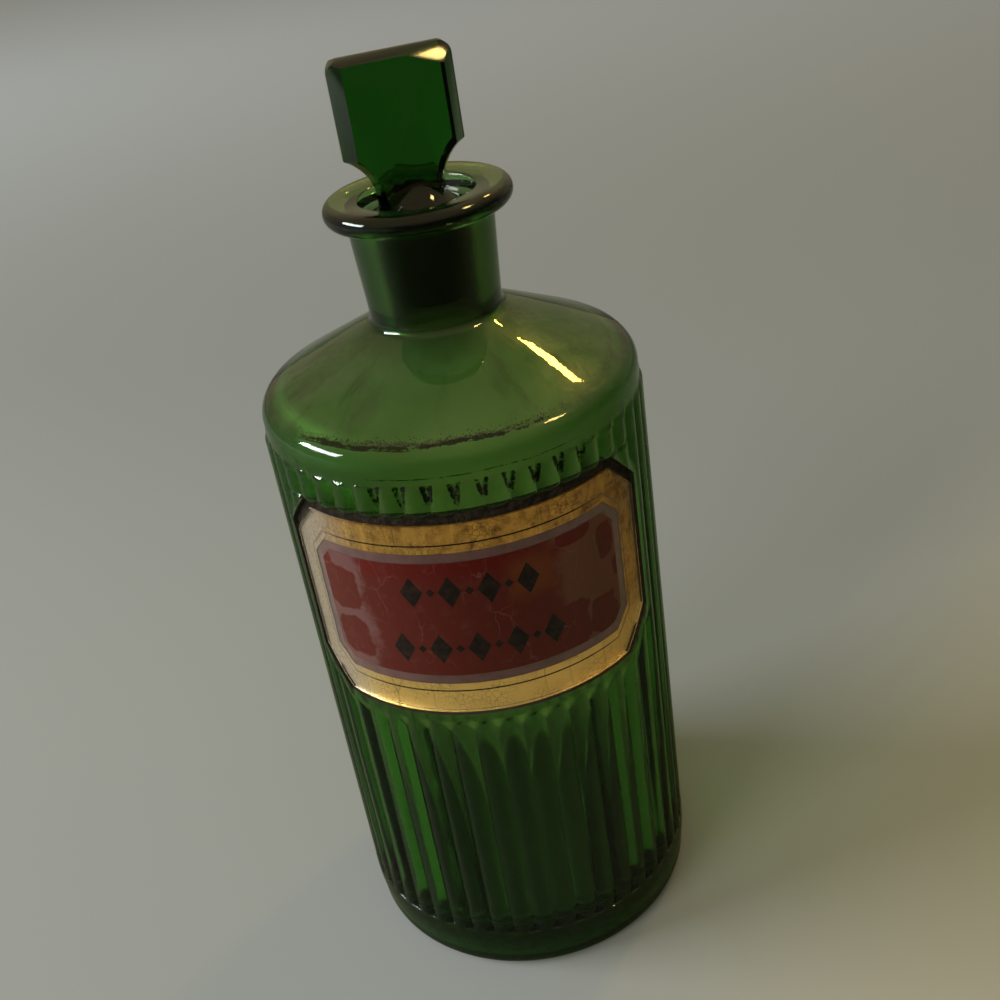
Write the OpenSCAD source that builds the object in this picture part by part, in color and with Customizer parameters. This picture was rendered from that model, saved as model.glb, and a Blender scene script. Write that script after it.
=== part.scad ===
// Stoppered apothecary bottle in green glass, with convex reeds round the body
// and a reverse-painted glass label set in a recessed panel.
// Millimetres, +Z up, origin at the middle of the base, label facing -Y.
// Angles round the bottle are counted from the middle of the label, towards +X.

/* [Body] */
// Radius of the plain glass above and below the reeds
body_r = 41.3; // [39.5:0.1:46]
// Height at which the side starts to turn into the shoulder
body_h = 142.6; // [141:0.1:170]
// Rounding where the side meets the base
base_edge_r = 3; // [1:0.5:5]
// Rounding where the side meets the shoulder
shoulder_edge_r = 4.4; // [2:0.2:8]
// Slope of the shoulder above level, in degrees
shoulder_slope = 26.5; // [15:0.5:40]
// Thickness of the side wall
wall_t = 4.9; // [4.3:0.1:7]
// Thickness of the shoulder
shoulder_t = 4.2; // [3:0.1:5.5]
// Thickness of the base above the hollow under it
base_t = 7; // [4:0.5:12]
// Rounding inside, where the wall meets the base and the shoulder
inner_edge_r = 6; // [2:0.5:9]
// Height of the hollow pushed up under the base
pushup_h = 2.4; // [0.8:0.2:4]
// Width of the flat ring that the bottle stands on
foot_w = 3.2; // [2:0.2:6]

/* [Neck and lip] */
// Outer radius at the foot of the neck
neck_foot_r = 14.1; // [13:0.1:16]
// Outer radius just under the lip
neck_top_r = 15.3; // [14:0.1:16.4]
// Length of the neck from the fillet at its foot to the lip
neck_l = 19.9; // [18.6:0.1:32]
// Fillet between shoulder and neck
neck_fillet_r = 2.6; // [1:0.2:4]
// Outer radius of the ring lip
lip_r = 19.6; // [18.6:0.1:22]
// Thickness of the ring lip
lip_t = 4.7; // [3.8:0.1:6]
// Radius of the mouth at the edge of its flare
mouth_r = 12.1; // [11.6:0.1:13]
// Rounding of the edge of the mouth
mouth_edge_r = 0.8; // [0.4:0.1:1.2]
// How far the top of the lip dips towards the mouth
lip_dish = 0.6; // [0.2:0.1:1]

/* [Ground joint] */
// Radius of the ground bore at its top
bore_r = 10.45; // [9.8:0.05:11]
// Length of the ground plug
plug_l = 16.8; // [12:0.1:18]
// Taper of bore and plug: change of diameter over length
joint_taper = 0.1; // [0.06:0.01:0.14]
// Radial room between the plug and the bore
joint_gap = 0.03; // [0.02:0.01:0.08]
// Depth of the top of the ground bore below the top of the lip
bore_drop = 4.7; // [3.8:0.1:5.6]

/* [Reeds] */
// Number of reeds round the body
reed_count = 48; // [40:4:56]
// How far a reed stands proud of the plain glass
reed_rise = 0.7; // [0.4:0.05:1]
// How deep the grooves between reeds go below the plain glass
groove_drop = 0.3; // [0.15:0.05:0.5]
// Height at which the reeds start
reed_low_z = 12.6; // [6:0.1:24]
// Plain band left between the reeds and the turn of the shoulder
reed_top_gap = 3.3; // [2:0.1:5]
// Length over which the end of a reed rounds off
reed_end_l = 3.2; // [2:0.1:5]
// Angle from the middle of the label to the nearest groove
reed_turn = 1.1; // [-3:0.1:3]

/* [Label panel] */
// Width of the label along the curve
label_w = 87.2; // [60:0.1:96]
// Height of the label
label_h = 47.3; // [36:0.1:49]
// Height of the middle of the label above the base
label_z = 106.3; // [100:0.1:108]
// Length cut off each corner of the label and of the panel
label_corner = 8.2; // [5:0.1:11]
// Depth of the panel below the plain glass
panel_depth = 2.7; // [2.5:0.1:2.9]
// Room between the top of the label and the panel, filled with pitch
gap_top = 2.4; // [1:0.1:3]
// Room between the sides of the label and the panel
gap_side = 0.6; // [0.3:0.1:1.5]
// Room under the lower edge of the label
gap_low = 0.4; // [0.2:0.1:1.5]
// Plain glass left beside the panel
land_side = 0.9; // [0.5:0.1:1.4]
// Plain glass left below the panel
land_low = 2; // [0.5:0.1:3]
// How far that plain glass stays below the crests of the reeds
land_drop = 0.15; // [0.05:0.05:0.3]
// Length over which a crest runs down to the plain glass
crest_run = 1.6; // [0.8:0.1:3]
// Length over which a groove slopes up to the plain glass
groove_run = 3.2; // [1:0.1:4]

/* [Label layers] */
// Thickness of the curved glass plate
plate_t = 1.6; // [1:0.1:1.7]
// Thickness of the black enamel lines and figures
enamel_t = 0.1; // [0.05:0.01:0.12]
// Thickness of the gold leaf and of the red ground
leaf_t = 0.2; // [0.15:0.01:0.25]
// Thickness of the grey backing paint
backing_t = 0.25; // [0.15:0.01:0.3]
// How far the pitch round the label stays below the face of the plate
bed_sink = 0.5; // [0.2:0.1:1.2]
// Width of the gold border at the top and bottom of the label
gold_end_w = 7.1; // [5.8:0.1:8]
// Width of the gold border at the sides of the label
gold_side_w = 5.9; // [5.8:0.1:8]
// Width of the bare band between the gold and the red
bare_w = 2.3; // [1:0.1:4]
// Distance from the edge of the label to the black line
line_inset = 5; // [3:0.1:5.2]
// Thickness of the black line
line_w = 0.32; // [0.2:0.02:0.4]
// Height of the large lozenges in the two rows of ornament
lozenge_h = 7.6; // [5:0.1:8.6]
// Width of the large lozenges
lozenge_w = 5; // [3:0.1:5.6]
// Width and height of the small lozenges between them
pip = 2; // [1:0.1:2.4]
// Distance along the curve from one large lozenge to the next
lozenge_pitch = 8.4; // [8.2:0.1:9]
// Distance between the middles of the two rows
row_pitch = 14.4; // [10:0.1:16]

/* [Stopper] */
// Width of the flat head
head_w = 24.8; // [22:0.1:27]
// Thickness of the head between its two faces
head_t = 8.6; // [7.8:0.1:9.6]
// Height of the head above its lower corners
head_h = 19.2; // [16:0.1:26]
// Thickness of the rim left between the bevels
rim_t = 1.4; // [1:0.1:2]
// Width of the bevels at the sides of the head
side_bevel = 2.45; // [1.5:0.05:3]
// Height of the bevels at the top of the head
top_bevel = 1.2; // [0.6:0.1:3]
// Rounding of the two upper corners
head_corner_r = 3; // [1.5:0.1:5]
// How far the ground facet reaches down the face at one upper corner
facet_drop = 2.6; // [1:0.1:4]
// Width of that facet
facet_w = 7; // [5:0.1:10]
// Slope of that facet away from the face, in degrees
facet_tilt = 42; // [30:1:60]
// Height of the lower corners of the head above the top of the lip
head_rise = 8; // [7:0.1:9]
// Half width of the stem at its narrowest
stem_half_w = 7; // [6:0.1:7.4]
// Bevel along the hollow sides of the stem
stem_bevel = 1.4; // [0.8:0.1:2]
// Radius of the hollow sides of the stem
hollow_r = 9.8; // [9.4:0.1:11]
// Radius of the flare from the stem down to the plug
flare_r = 10.9; // [10.4:0.1:11.6]
// How far the head is ground off centre
head_shift = -0.9; // [-1.5:0.1:1.5]
// Turn of the stopper in the neck, in degrees
head_turn = 14; // [-90:1:90]

/* [Hidden] */
$fn = 96;

// Extra length that a cut or a bounding shape runs past the glass
reach = 3;
// Room kept between a crest and the surface that rounds off its ends
crest_room = 0.2;
// Fragments in a full turn of the thin curved layers, so that neighbours stay face to face
layer_fn = 360;

// Body
inner_r = body_r - wall_t;
crest_r = body_r + reed_rise;
groove_r = body_r - groove_drop;
land_r = crest_r - land_drop;
reed_high_z = body_h - reed_top_gap;
reed_step = 360 / reed_count;
slope_turn = 90 - shoulder_slope;

// The inner shoulder runs parallel to the outer one, shoulder_t below it
inner_h = body_h + (
    shoulder_edge_r - shoulder_t - inner_edge_r
    + (wall_t + inner_edge_r - shoulder_edge_r) * sin(shoulder_slope)
) / cos(shoulder_slope);

// Neck, lip and ground joint, stacked from the shoulder up
outer_shoulder = shoulder_line(body_r, body_h, shoulder_edge_r, neck_foot_r, neck_fillet_r);
neck_top_z = outer_shoulder[len(outer_shoulder) - 1][1] + neck_l;
lip_top_z = neck_top_z + lip_t;
mouth_z = lip_top_z - lip_dish - mouth_edge_r;
bore_top_z = lip_top_z - bore_drop;
plug_low_z = bore_top_z - plug_l;
bore_room = 1.5;
bore_low_z = plug_low_z - bore_room;

// Label layers, from the face of the plate inwards
panel_floor_r = body_r - panel_depth;
plate_in_r = body_r - plate_t;
enamel_in_r = plate_in_r - enamel_t;
leaf_in_r = plate_in_r - leaf_t;
backing_in_r = leaf_in_r - backing_t;

// Stopper
head_low_z = lip_top_z + head_rise;
head_top_z = head_low_z + head_h;
plug_edge = 0.5;
plug_top_z = bore_top_z + plug_edge / 2;
stem_start = 1.3;
stem_low_z = plug_top_z + stem_start;

// Points along an arc, from one angle to another
function arc(centre, r, from, to, steps = 8) = [
    for (i = [0:steps])
        let (a = from + (to - from) * i / steps)
        centre + r * [cos(a), sin(a)]
];

// Radius of the ground bore at a height, or of its run below the ground length
function bore_at(z) = bore_r - (bore_top_z - z) * joint_taper / 2;

// Outline of a shoulder: rounded edge, slope, and fillet up to the neck
function shoulder_line(side_r, start_z, edge_r, neck_r, fillet_r) =
    let (
        edge_c = [side_r - edge_r, start_z],
        edge_end = edge_c + edge_r * [cos(slope_turn), sin(slope_turn)],
        foot_r = neck_r + fillet_r * (1 - sin(shoulder_slope)),
        foot_z = edge_end[1] + (edge_end[0] - foot_r) * tan(shoulder_slope),
        fillet_c = [neck_r + fillet_r, foot_z + fillet_r * cos(shoulder_slope)]
    )
    concat(
        arc(edge_c, edge_r, 0, slope_turn),
        arc(fillet_c, fillet_r, 180 + slope_turn, 180)
    );

function reversed(points) = [for (i = [len(points) - 1:-1:0]) points[i]];

// Outside of the plain glass, from the middle of the base up to the edge of the mouth
function outer_line() =
    let (
        dome_w = body_r - base_edge_r - foot_w,
        dome_r = (dome_w * dome_w + pushup_h * pushup_h) / (2 * pushup_h),
        groove_end = 0.6,
        groove_full = 1.8,
        lip_round = lip_t / 2
    )
    concat(
        arc([0, pushup_h - dome_r], dome_r, 90, 90 - asin(dome_w / dome_r), 5),
        arc([body_r - base_edge_r, base_edge_r], base_edge_r, -90, 0, 6),
        [
            [body_r, reed_low_z + groove_end],
            [groove_r, reed_low_z + groove_full],
            [groove_r, reed_high_z - groove_full],
            [body_r, reed_high_z - groove_end]
        ],
        outer_shoulder,
        [[neck_top_r, neck_top_z]],
        arc([lip_r - lip_round, neck_top_z + lip_round], lip_round, -90, 90, 10),
        arc([mouth_r + mouth_edge_r, mouth_z], mouth_edge_r, 90, 180, 4)
    );

// Inside, from the middle of the floor up to the top of the ground bore
function inner_line() =
    let (floor_z = pushup_h + base_t, low_bore_r = bore_at(bore_low_z))
    concat(
        [[0, floor_z]],
        arc([inner_r - inner_edge_r, floor_z + inner_edge_r], inner_edge_r, -90, 0, 6),
        shoulder_line(inner_r, inner_h, inner_edge_r, low_bore_r, neck_fillet_r),
        [[low_bore_r, bore_low_z], [bore_r, bore_top_z]]
    );

// Hollow blown glass, still without reeds or panel
module plain_glass() {
    rotate_extrude() polygon(concat(outer_line(), reversed(inner_line())));
}

// Convex reeds all round, with ends that dome down to the plain glass
module reeds() {
    half_chord = groove_r * sin(reed_step / 2);
    rise = crest_r - groove_r * cos(reed_step / 2);
    reed_r = (half_chord * half_chord + rise * rise) / (2 * rise);
    limit_r = crest_r + crest_room;
    dome = limit_r - body_r;
    dome_r = (reed_end_l * reed_end_l + dome * dome) / (2 * dome);
    full_l = reed_high_z - reed_low_z - 2 * reed_end_l;
    intersection() {
        translate([0, 0, reed_low_z])
            linear_extrude(reed_high_z - reed_low_z)
                difference() {
                    for (i = [0:reed_count - 1])
                        rotate(reed_turn - 90 + reed_step * (i + 0.5))
                            translate([crest_r - reed_r, 0])
                                circle(reed_r, $fn = 48);
                    circle(groove_r - reed_rise);
                }
        rotate_extrude()
            translate([limit_r - dome_r, reed_low_z + reed_end_l]) {
                circle(dome_r);
                translate([0, full_l]) circle(dome_r);
                square([dome_r, full_l]);
            }
    }
}

// Leg of the cut corner of a layer that is inset from the label's edge
function corner_leg(side, end) = label_corner - (side + end) * (1 - 1 / sqrt(2));

// Curved plate with four cut corners. It spans the label grown by side, top and low,
// and its lower edge and corners may flare outwards as the radius grows, or inwards
module panel(in_r, out_r, side, top, low, leg, flare = 0) {
    half_angle = (label_w / 2 + side) / body_r * 180 / PI;
    low_z = label_z - label_h / 2 - low;
    top_z = label_z + label_h / 2 + top;
    depth = out_r - in_r;
    lean = flare / depth;
    difference() {
        rotate(-90 - half_angle)
            rotate_extrude(angle = 2 * half_angle, $fn = layer_fn)
                polygon([[in_r, low_z], [out_r, low_z - flare], [out_r, top_z], [in_r, top_z]]);
        for (across = [-1, 1], up = [-1, 1])
            rotate(-90 + across * (half_angle - leg / 2 / body_r * 180 / PI))
                translate([0, 0, (up > 0 ? top_z : low_z) - up * leg / 2])
                    rotate([up * (across > 0 ? 45 : 135), 0, 0])
                        linear_extrude(4 * leg + 8 * abs(flare), center = true)
                            polygon([
                                [in_r - reach, -lean * reach],
                                [out_r + reach, lean * (depth + reach)],
                                [out_r + reach, 4 * label_corner],
                                [in_r - reach, 4 * label_corner]
                            ]);
    }
}

// Label layer inset from the edge of the label, by one width at the sides and one at the ends
module layer(in_r, out_r, side, end) {
    panel(in_r, out_r, -side, -end, -end, corner_leg(side, end));
}

// Plain glass round the panel: the crests run down to it, and the grooves end in slopes below it
module with_land() {
    side = gap_side + land_side;
    low = gap_low + land_low;
    leg = label_corner + (land_side + land_low) / 4;
    crest_flare = crest_run * (1 + crest_room / land_drop);
    slope = groove_run * (1 + crest_room / (land_r - groove_r));
    difference() {
        children();
        panel(land_r, crest_r + crest_room, side, gap_top, low, leg, crest_flare);
    }
    panel(groove_r - crest_room, land_r, side, gap_top, low + slope, leg - slope * (sqrt(2) - 1), -slope);
}

module bottle() {
    color("#3c7d45")
        difference() {
            with_land() {
                plain_glass();
                reeds();
            }
            panel(panel_floor_r, crest_r + reach, gap_side, gap_top, gap_low, label_corner);
        }
}

// Ground plug with the flare up to the stem
module plug() {
    top_r = bore_r - joint_gap + (plug_top_z - bore_top_z) * joint_taper / 2;
    low_r = bore_at(plug_low_z) - joint_gap;
    flare_low_angle = 247;
    flare_high_angle = 190;
    flare_start = [top_r - plug_edge, plug_top_z + plug_edge];
    flare_c = flare_start - flare_r * [cos(flare_low_angle), sin(flare_low_angle)];
    flare = arc(flare_c, flare_r, flare_low_angle, flare_high_angle, 10);
    rotate_extrude()
        polygon(concat(
            [
                [0, plug_low_z],
                [low_r - plug_edge, plug_low_z],
                [low_r + plug_edge * joint_taper / 2, plug_low_z + plug_edge],
                [top_r, plug_top_z]
            ],
            flare,
            [[0, flare[len(flare) - 1][1]]]
        ));
}

// Front outline of the head and stem, before the stem's sides are hollowed
module head_outline() {
    half_w = head_w / 2;
    translate([-half_w, stem_low_z])
        square([head_w, head_top_z - head_corner_r - stem_low_z]);
    translate([-half_w + head_corner_r, stem_low_z])
        square([head_w - 2 * head_corner_r, head_top_z - stem_low_z]);
    for (across = [-1, 1])
        translate([across * (half_w - head_corner_r), head_top_z - head_corner_r])
            circle(head_corner_r);
}

// Cut of one hollow side of the stem: wider at the two faces than at the rim
module hollow() {
    centre_x = stem_half_w + hollow_r;
    corner_x = centre_x - head_w / 2;
    centre_z = head_low_z - sqrt(hollow_r * hollow_r - corner_x * corner_x);
    spread = stem_bevel / (head_t - rim_t) * 2;
    half_l = head_t / 2 + reach;
    wide_r = hollow_r + spread * (half_l - rim_t / 2);
    translate([centre_x, 0, centre_z])
        rotate([90, 0, 0])
            rotate_extrude()
                polygon([
                    [0, -half_l], [wide_r, -half_l], [hollow_r, -rim_t / 2],
                    [hollow_r, rim_t / 2], [wide_r, half_l], [0, half_l]
                ]);
}

// Facet ground across one upper corner of the front face
module facet() {
    size = 2 * head_w;
    translate([head_w / 2 - side_bevel - facet_w, -head_t / 2, head_top_z - top_bevel])
        rotate([0, atan(facet_drop / facet_w), 0])
            rotate([-facet_tilt, 0, 0])
                translate([-size / 4, -size, -size / 2])
                    cube(size);
}

// Flat head with bevelled edges and hollow sides down to the stem
module head() {
    half_w = head_w / 2;
    half_t = head_t / 2;
    half_rim = rim_t / 2;
    face_w = half_w - side_bevel;
    difference() {
        intersection() {
            rotate([90, 0, 0])
                linear_extrude(head_t, center = true) head_outline();
            translate([0, 0, stem_low_z])
                linear_extrude(head_top_z - stem_low_z + reach)
                    polygon([
                        [half_w, -half_rim], [half_w, half_rim], [face_w, half_t], [-face_w, half_t],
                        [-half_w, half_rim], [-half_w, -half_rim], [-face_w, -half_t], [face_w, -half_t]
                    ]);
            rotate([90, 0, 90])
                linear_extrude(head_w + reach, center = true)
                    polygon([
                        [-half_t, stem_low_z], [half_t, stem_low_z], [half_t, head_top_z - top_bevel],
                        [half_rim, head_top_z], [-half_rim, head_top_z], [-half_t, head_top_z - top_bevel]
                    ]);
        }
        hollow();
        mirror([1, 0, 0]) hollow();
        facet();
    }
}

module stopper() {
    color("#14561c")
        rotate(head_turn) {
            plug();
            translate([head_shift, 0, 0]) head();
        }
}

// Pitch that holds the label in the panel and fills the gap round it
module label_bed() {
    color("#3a2f22")
        difference() {
            panel(panel_floor_r, body_r - bed_sink, gap_side, gap_top, gap_low, label_corner);
            panel(backing_in_r, body_r + reach, 0, 0, 0, label_corner);
        }
}

module label_backing() {
    color("#b8a8a8") layer(backing_in_r, leaf_in_r, 0, 0);
}

// Black line all the way round the gold border
module line_frame(in_r, out_r) {
    difference() {
        layer(in_r, out_r, line_inset, line_inset);
        layer(in_r - reach, out_r + reach, line_inset + line_w, line_inset + line_w);
    }
}

module label_gilding() {
    color("#c79a4a")
        difference() {
            layer(leaf_in_r, plate_in_r, 0, 0);
            layer(leaf_in_r - reach, plate_in_r + reach, gold_side_w, gold_end_w);
            line_frame(enamel_in_r, plate_in_r + reach);
        }
}

// One lozenge of enamel on the back of the plate
module lozenge(along, z, w, h, out_r) {
    intersection() {
        rotate(-90 + along / body_r * 180 / PI)
            translate([0, 0, z])
                rotate([90, 0, 90])
                    linear_extrude(out_r + reach)
                        polygon([[-w / 2, 0], [0, -h / 2], [w / 2, 0], [0, h / 2]]);
        panel(enamel_in_r, out_r, 0, 0, 0, label_corner);
    }
}

// Two rows of large lozenges with small ones between them
module ornament(out_r) {
    for (row = [0, 1])
        let (count = 4 + row, z = label_z + row_pitch * (0.5 - row), start = -lozenge_pitch * (count - 1) / 2) {
            for (i = [0:count - 1])
                lozenge(start + i * lozenge_pitch, z, lozenge_w, lozenge_h, out_r);
            for (i = [0:count - 2])
                lozenge(start + (i + 0.5) * lozenge_pitch, z, pip, pip, out_r);
        }
}

module label_red_ground() {
    color("#8c1f1f")
        difference() {
            layer(leaf_in_r, plate_in_r, gold_side_w + bare_w, gold_end_w + bare_w);
            ornament(plate_in_r + reach);
        }
}

module label_pinstripe() {
    color("#241a12") line_frame(enamel_in_r, plate_in_r);
}

module label_ornament() {
    color("#1c1512") ornament(plate_in_r);
}

module label_glass() {
    color("#dfe6dc") layer(plate_in_r, body_r, 0, 0);
}

bottle();
stopper();
label_bed();
label_backing();
label_gilding();
label_red_ground();
label_pinstripe();
label_ornament();
label_glass();
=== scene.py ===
"""Green glass apothecary bottle with a ground stopper and a painted label under glass.

The shell, the stopper and the layers of the label stand for the solids of the frame, in the
same places. Angles round the bottle are counted from the middle of the label, towards +X.
"""
import logging
import math
from dataclasses import dataclass, field
from enum import Enum

import bmesh
import bpy
import numpy as np
from mathutils import Matrix, Vector


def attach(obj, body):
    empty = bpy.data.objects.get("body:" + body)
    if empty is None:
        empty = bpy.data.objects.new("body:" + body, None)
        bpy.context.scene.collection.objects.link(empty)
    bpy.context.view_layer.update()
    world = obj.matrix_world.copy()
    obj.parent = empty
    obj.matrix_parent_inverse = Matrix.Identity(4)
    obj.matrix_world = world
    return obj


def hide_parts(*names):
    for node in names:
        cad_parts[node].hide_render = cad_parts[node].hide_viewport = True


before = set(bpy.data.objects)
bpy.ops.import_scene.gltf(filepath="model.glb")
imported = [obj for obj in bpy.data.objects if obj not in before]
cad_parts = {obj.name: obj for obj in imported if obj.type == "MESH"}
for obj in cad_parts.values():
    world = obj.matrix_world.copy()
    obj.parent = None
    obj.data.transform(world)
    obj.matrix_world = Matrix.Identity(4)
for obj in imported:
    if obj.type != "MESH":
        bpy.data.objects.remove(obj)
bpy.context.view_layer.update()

logging.basicConfig(level=logging.INFO, format="%(name)s: %(message)s")
log = logging.getLogger("apothecary_bottle")

MM = 0.001
INSIDE = "inside"
SHADER, GEOMETRY = "ShaderNodeTree", "GeometryNodeTree"
SOCKET_TYPES = {float: "Float", int: "Int", tuple: "Vector"}
Colour = tuple[float, float, float]
Point = tuple[float, float]
Ring = list[int]
GREEN_SHADE = (0.62, 0.6, 0.47)


class Body(Enum):
    """The two bodies of the frame."""

    BOTTLE = "bottle"
    STOPPER = "stopper"


class Edge(Enum):
    """How a piece is shaded at its edges, by the angle past which an edge stays sharp."""

    SOFT = 75.0
    CRISP = 38.0
    HARD = 20.0


def arc(centre: Point, radius: float, start: float, end: float, steps: int) -> list[Point]:
    """Points along an arc.

    Args:
        centre: Middle of the arc.
        radius: Its radius.
        start: First angle, in degrees.
        end: Last angle, in degrees.
        steps: Number of stretches.

    Returns:
        The points, both ends included.
    """
    turns = [math.radians(start + (end - start) * i / steps) for i in range(steps + 1)]
    return [(centre[0] + radius * math.cos(t), centre[1] + radius * math.sin(t)) for t in turns]


def straight(start: Point, end: Point, steps: int, bend: float = 1.0) -> list[Point]:
    """Points between two others.

    Args:
        start: Point before the first.
        end: Point after the last.
        steps: Number of stretches.
        bend: Power of the share of the way, for the second value.

    Returns:
        The points, without both ends.
    """
    shares = [i / steps for i in range(1, steps)]
    return [(start[0] + (end[0] - start[0]) * s, start[1] + (end[1] - start[1]) * s**bend) for s in shares]


def pairs(ring: list | tuple) -> list[tuple]:
    """Neighbours in a closed ring."""
    return list(zip(ring, ring[1:] + ring[:1]))


def toggle(rim: dict[tuple, None], cell: list | tuple) -> None:
    """Adds a cell to a region whose rim is kept: an edge that two cells share drops out."""
    for a, b in pairs(cell):
        if (b, a) in rim:
            del rim[(b, a)]
        else:
            rim[(a, b)] = None


def ramp(value: np.ndarray, low: float, high: float) -> np.ndarray:
    """Smooth rise from 0 at low to 1 at high."""
    t = np.clip((value - low) / (high - low), 0.0, 1.0)
    return t * t * (3.0 - 2.0 * t)


def add_object(name: str, mesh: bpy.types.Mesh) -> bpy.types.Object:
    """Puts a mesh in the scene as an object at the origin."""
    piece = bpy.data.objects.new(name, mesh)
    bpy.context.scene.collection.objects.link(piece)
    return piece


def build_mesh(
    name: str,
    points: list[tuple[float, ...]],
    faces: list[tuple[int, ...]],
    edge: Edge,
    inside: int | None = None,
    finishes: dict[int, int] | None = None,
) -> bpy.types.Mesh:
    """Makes a closed mesh with outward normals and smooth shading between its sharp edges.

    Args:
        name: Name of the mesh.
        points: Place of each vertex, in metres.
        faces: Vertex numbers of each face.
        edge: Which edges stay sharp.
        inside: Number of the first vertex of the inner skin, where it has one.
        finishes: Number of the finish of each face that doesn't have the first one.

    Returns:
        The mesh.
    """
    mesh = bpy.data.meshes.new(name)
    mesh.from_pydata([tuple(p) for p in points], [], faces)
    for number, finish in (finishes or {}).items():
        mesh.polygons[number].material_index = finish
    if inside is not None:
        marks = mesh.attributes.new(INSIDE, "FLOAT", "POINT")
        marks.data.foreach_set("value", (np.arange(len(points)) >= inside).astype(np.float32))
    shape = bmesh.new()
    shape.from_mesh(mesh)
    bmesh.ops.remove_doubles(shape, verts=shape.verts, dist=1e-7)
    bmesh.ops.recalc_face_normals(shape, faces=shape.faces)
    if shape.calc_volume(signed=True) < 0:
        bmesh.ops.reverse_faces(shape, faces=shape.faces)
    shape.to_mesh(mesh)
    shape.free()
    finish_shading(mesh, edge)
    return mesh


def finish_shading(mesh: bpy.types.Mesh, edge: Edge) -> None:
    """Shades a mesh smooth, apart from the edges that stay sharp."""
    mesh.shade_smooth()
    mesh.set_sharp_from_angle(angle=math.radians(edge.value))


def keep_result(piece: bpy.types.Object, modifier: bpy.types.Modifier, edge: Edge) -> bpy.types.Mesh:
    """Puts what a modifier makes in the place of a piece's mesh, and returns it."""
    piece.update_tag()
    graph = bpy.context.evaluated_depsgraph_get()
    graph.update()
    plain = bpy.data.meshes.new_from_object(piece.evaluated_get(graph), depsgraph=graph)
    piece.modifiers.remove(modifier)
    piece.data = plain
    finish_shading(plain, edge)
    return plain


def place_piece(piece: bpy.types.Object, body: Body, slot: str, nodes: list[str]) -> None:
    """Says what carries a piece and hides the solids that it stands for.

    Args:
        piece: The finished object.
        body: The body that it rides on.
        slot: The record's material slot; not used.
        nodes: The solids that it replaces.
    """
    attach(piece, body.value)
    if nodes:
        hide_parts(*nodes)
    log.info("%s rides on %s with %d faces", piece.name, body.value, len(piece.data.polygons))


@dataclass(frozen=True)
class Octagon:
    """Outline of a label layer in the flattened label plane: a rectangle with cut corners.

    Args:
        half_w: Half its width along the curve.
        low: Height of its lower edge.
        high: Height of its upper edge.
        leg: Length cut off each corner.
    """

    half_w: float
    low: float
    high: float
    leg: float

    def inset(self, side: float, end: float) -> "Octagon":
        """The outline moved inwards by one width at the sides and another at the ends."""
        leg = self.leg - (side + end) * (1.0 - 1.0 / math.sqrt(2.0))
        return Octagon(self.half_w - side, self.low + end, self.high - end, leg)

    def span(self, across: float) -> Point:
        """Lowest and highest point of the outline at a place along the curve."""
        cut = max(0.0, abs(across) - (self.half_w - self.leg))
        return self.low + cut, self.high - cut

    def distance(self, across: np.ndarray, up: np.ndarray, side_scale: float = 1.0) -> np.ndarray:
        """Distance outside the outline, negative within it.

        Args:
            across: Places along the curve.
            up: Heights.
            side_scale: Factor on the distance beside the upright edges.

        Returns:
            The distances.
        """
        across, up = np.broadcast_arrays(across, up)
        side = (np.abs(across) - self.half_w) * side_scale
        bottom = (np.abs(across) - self.half_w + self.leg + self.low - up) / math.sqrt(2.0)
        top = (np.abs(across) - self.half_w + self.leg + up - self.high) / math.sqrt(2.0)
        return np.maximum.reduce([side, self.low - up, up - self.high, bottom, top])


@dataclass
class LabelSizes:
    """Sizes of the label and of the panel that it lies in."""

    width: float = 87.2 * MM
    height: float = 47.3 * MM
    middle_z: float = 106.3 * MM
    corner: float = 8.2 * MM
    panel_depth: float = 2.7 * MM
    gap_top: float = 2.4 * MM
    gap_side: float = 0.6 * MM
    gap_low: float = 0.4 * MM
    land_side: float = 0.9 * MM
    land_low: float = 2.0 * MM
    plate: float = 1.6 * MM
    gold_end: float = 7.1 * MM
    gold_side: float = 5.9 * MM
    bare: float = 2.3 * MM
    line_inset: float = 5.0 * MM
    line: float = 0.32 * MM

    def outline(self) -> Octagon:
        """Outer edge of the label."""
        half_h = self.height / 2
        return Octagon(self.width / 2, self.middle_z - half_h, self.middle_z + half_h, self.corner)

    def recess(self) -> Octagon:
        """Edge of the panel, which leaves room round the label."""
        edge = self.outline()
        low, high = edge.low - self.gap_low, edge.high + self.gap_top
        return Octagon(edge.half_w + self.gap_side, low, high, self.corner)

    def land(self) -> Octagon:
        """Edge of the plain glass beside and below the panel."""
        edge = self.recess()
        leg = self.corner + (self.land_side + self.land_low) / 4
        return Octagon(edge.half_w + self.land_side, edge.low - self.land_low, edge.high, leg)


@dataclass
class Skin:
    """Points and faces of a mesh that grows ring by ring."""

    points: list[tuple[float, ...]] = field(default_factory=list)
    faces: list[tuple[int, ...]] = field(default_factory=list)
    finishes: dict[int, int] = field(default_factory=dict)

    def add_point(self, radius: float, z: float, angle: float = 0.0) -> int:
        """Adds a point and returns its number."""
        self.points.append((radius * math.sin(angle), -radius * math.cos(angle), z))
        return len(self.points) - 1

    def add_ring(self, radius: np.ndarray, z: np.ndarray, angles: np.ndarray) -> Ring:
        """Adds a ring of points and returns their numbers."""
        start = len(self.points)
        self.points.extend(np.column_stack([radius * np.sin(angles), -radius * np.cos(angles), z]))
        return list(range(start, len(self.points)))

    def join(self, lower: Ring, upper: Ring) -> None:
        """Joins two rings of as many points."""
        self.faces.extend((a, b, d, c) for (a, b), (c, d) in zip(pairs(lower), pairs(upper)))

    def add_face(self, face: tuple[int, ...], finish: int = 0) -> None:
        """Adds one face with its finish."""
        if finish:
            self.finishes[len(self.faces)] = finish
        self.faces.append(face)


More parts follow.
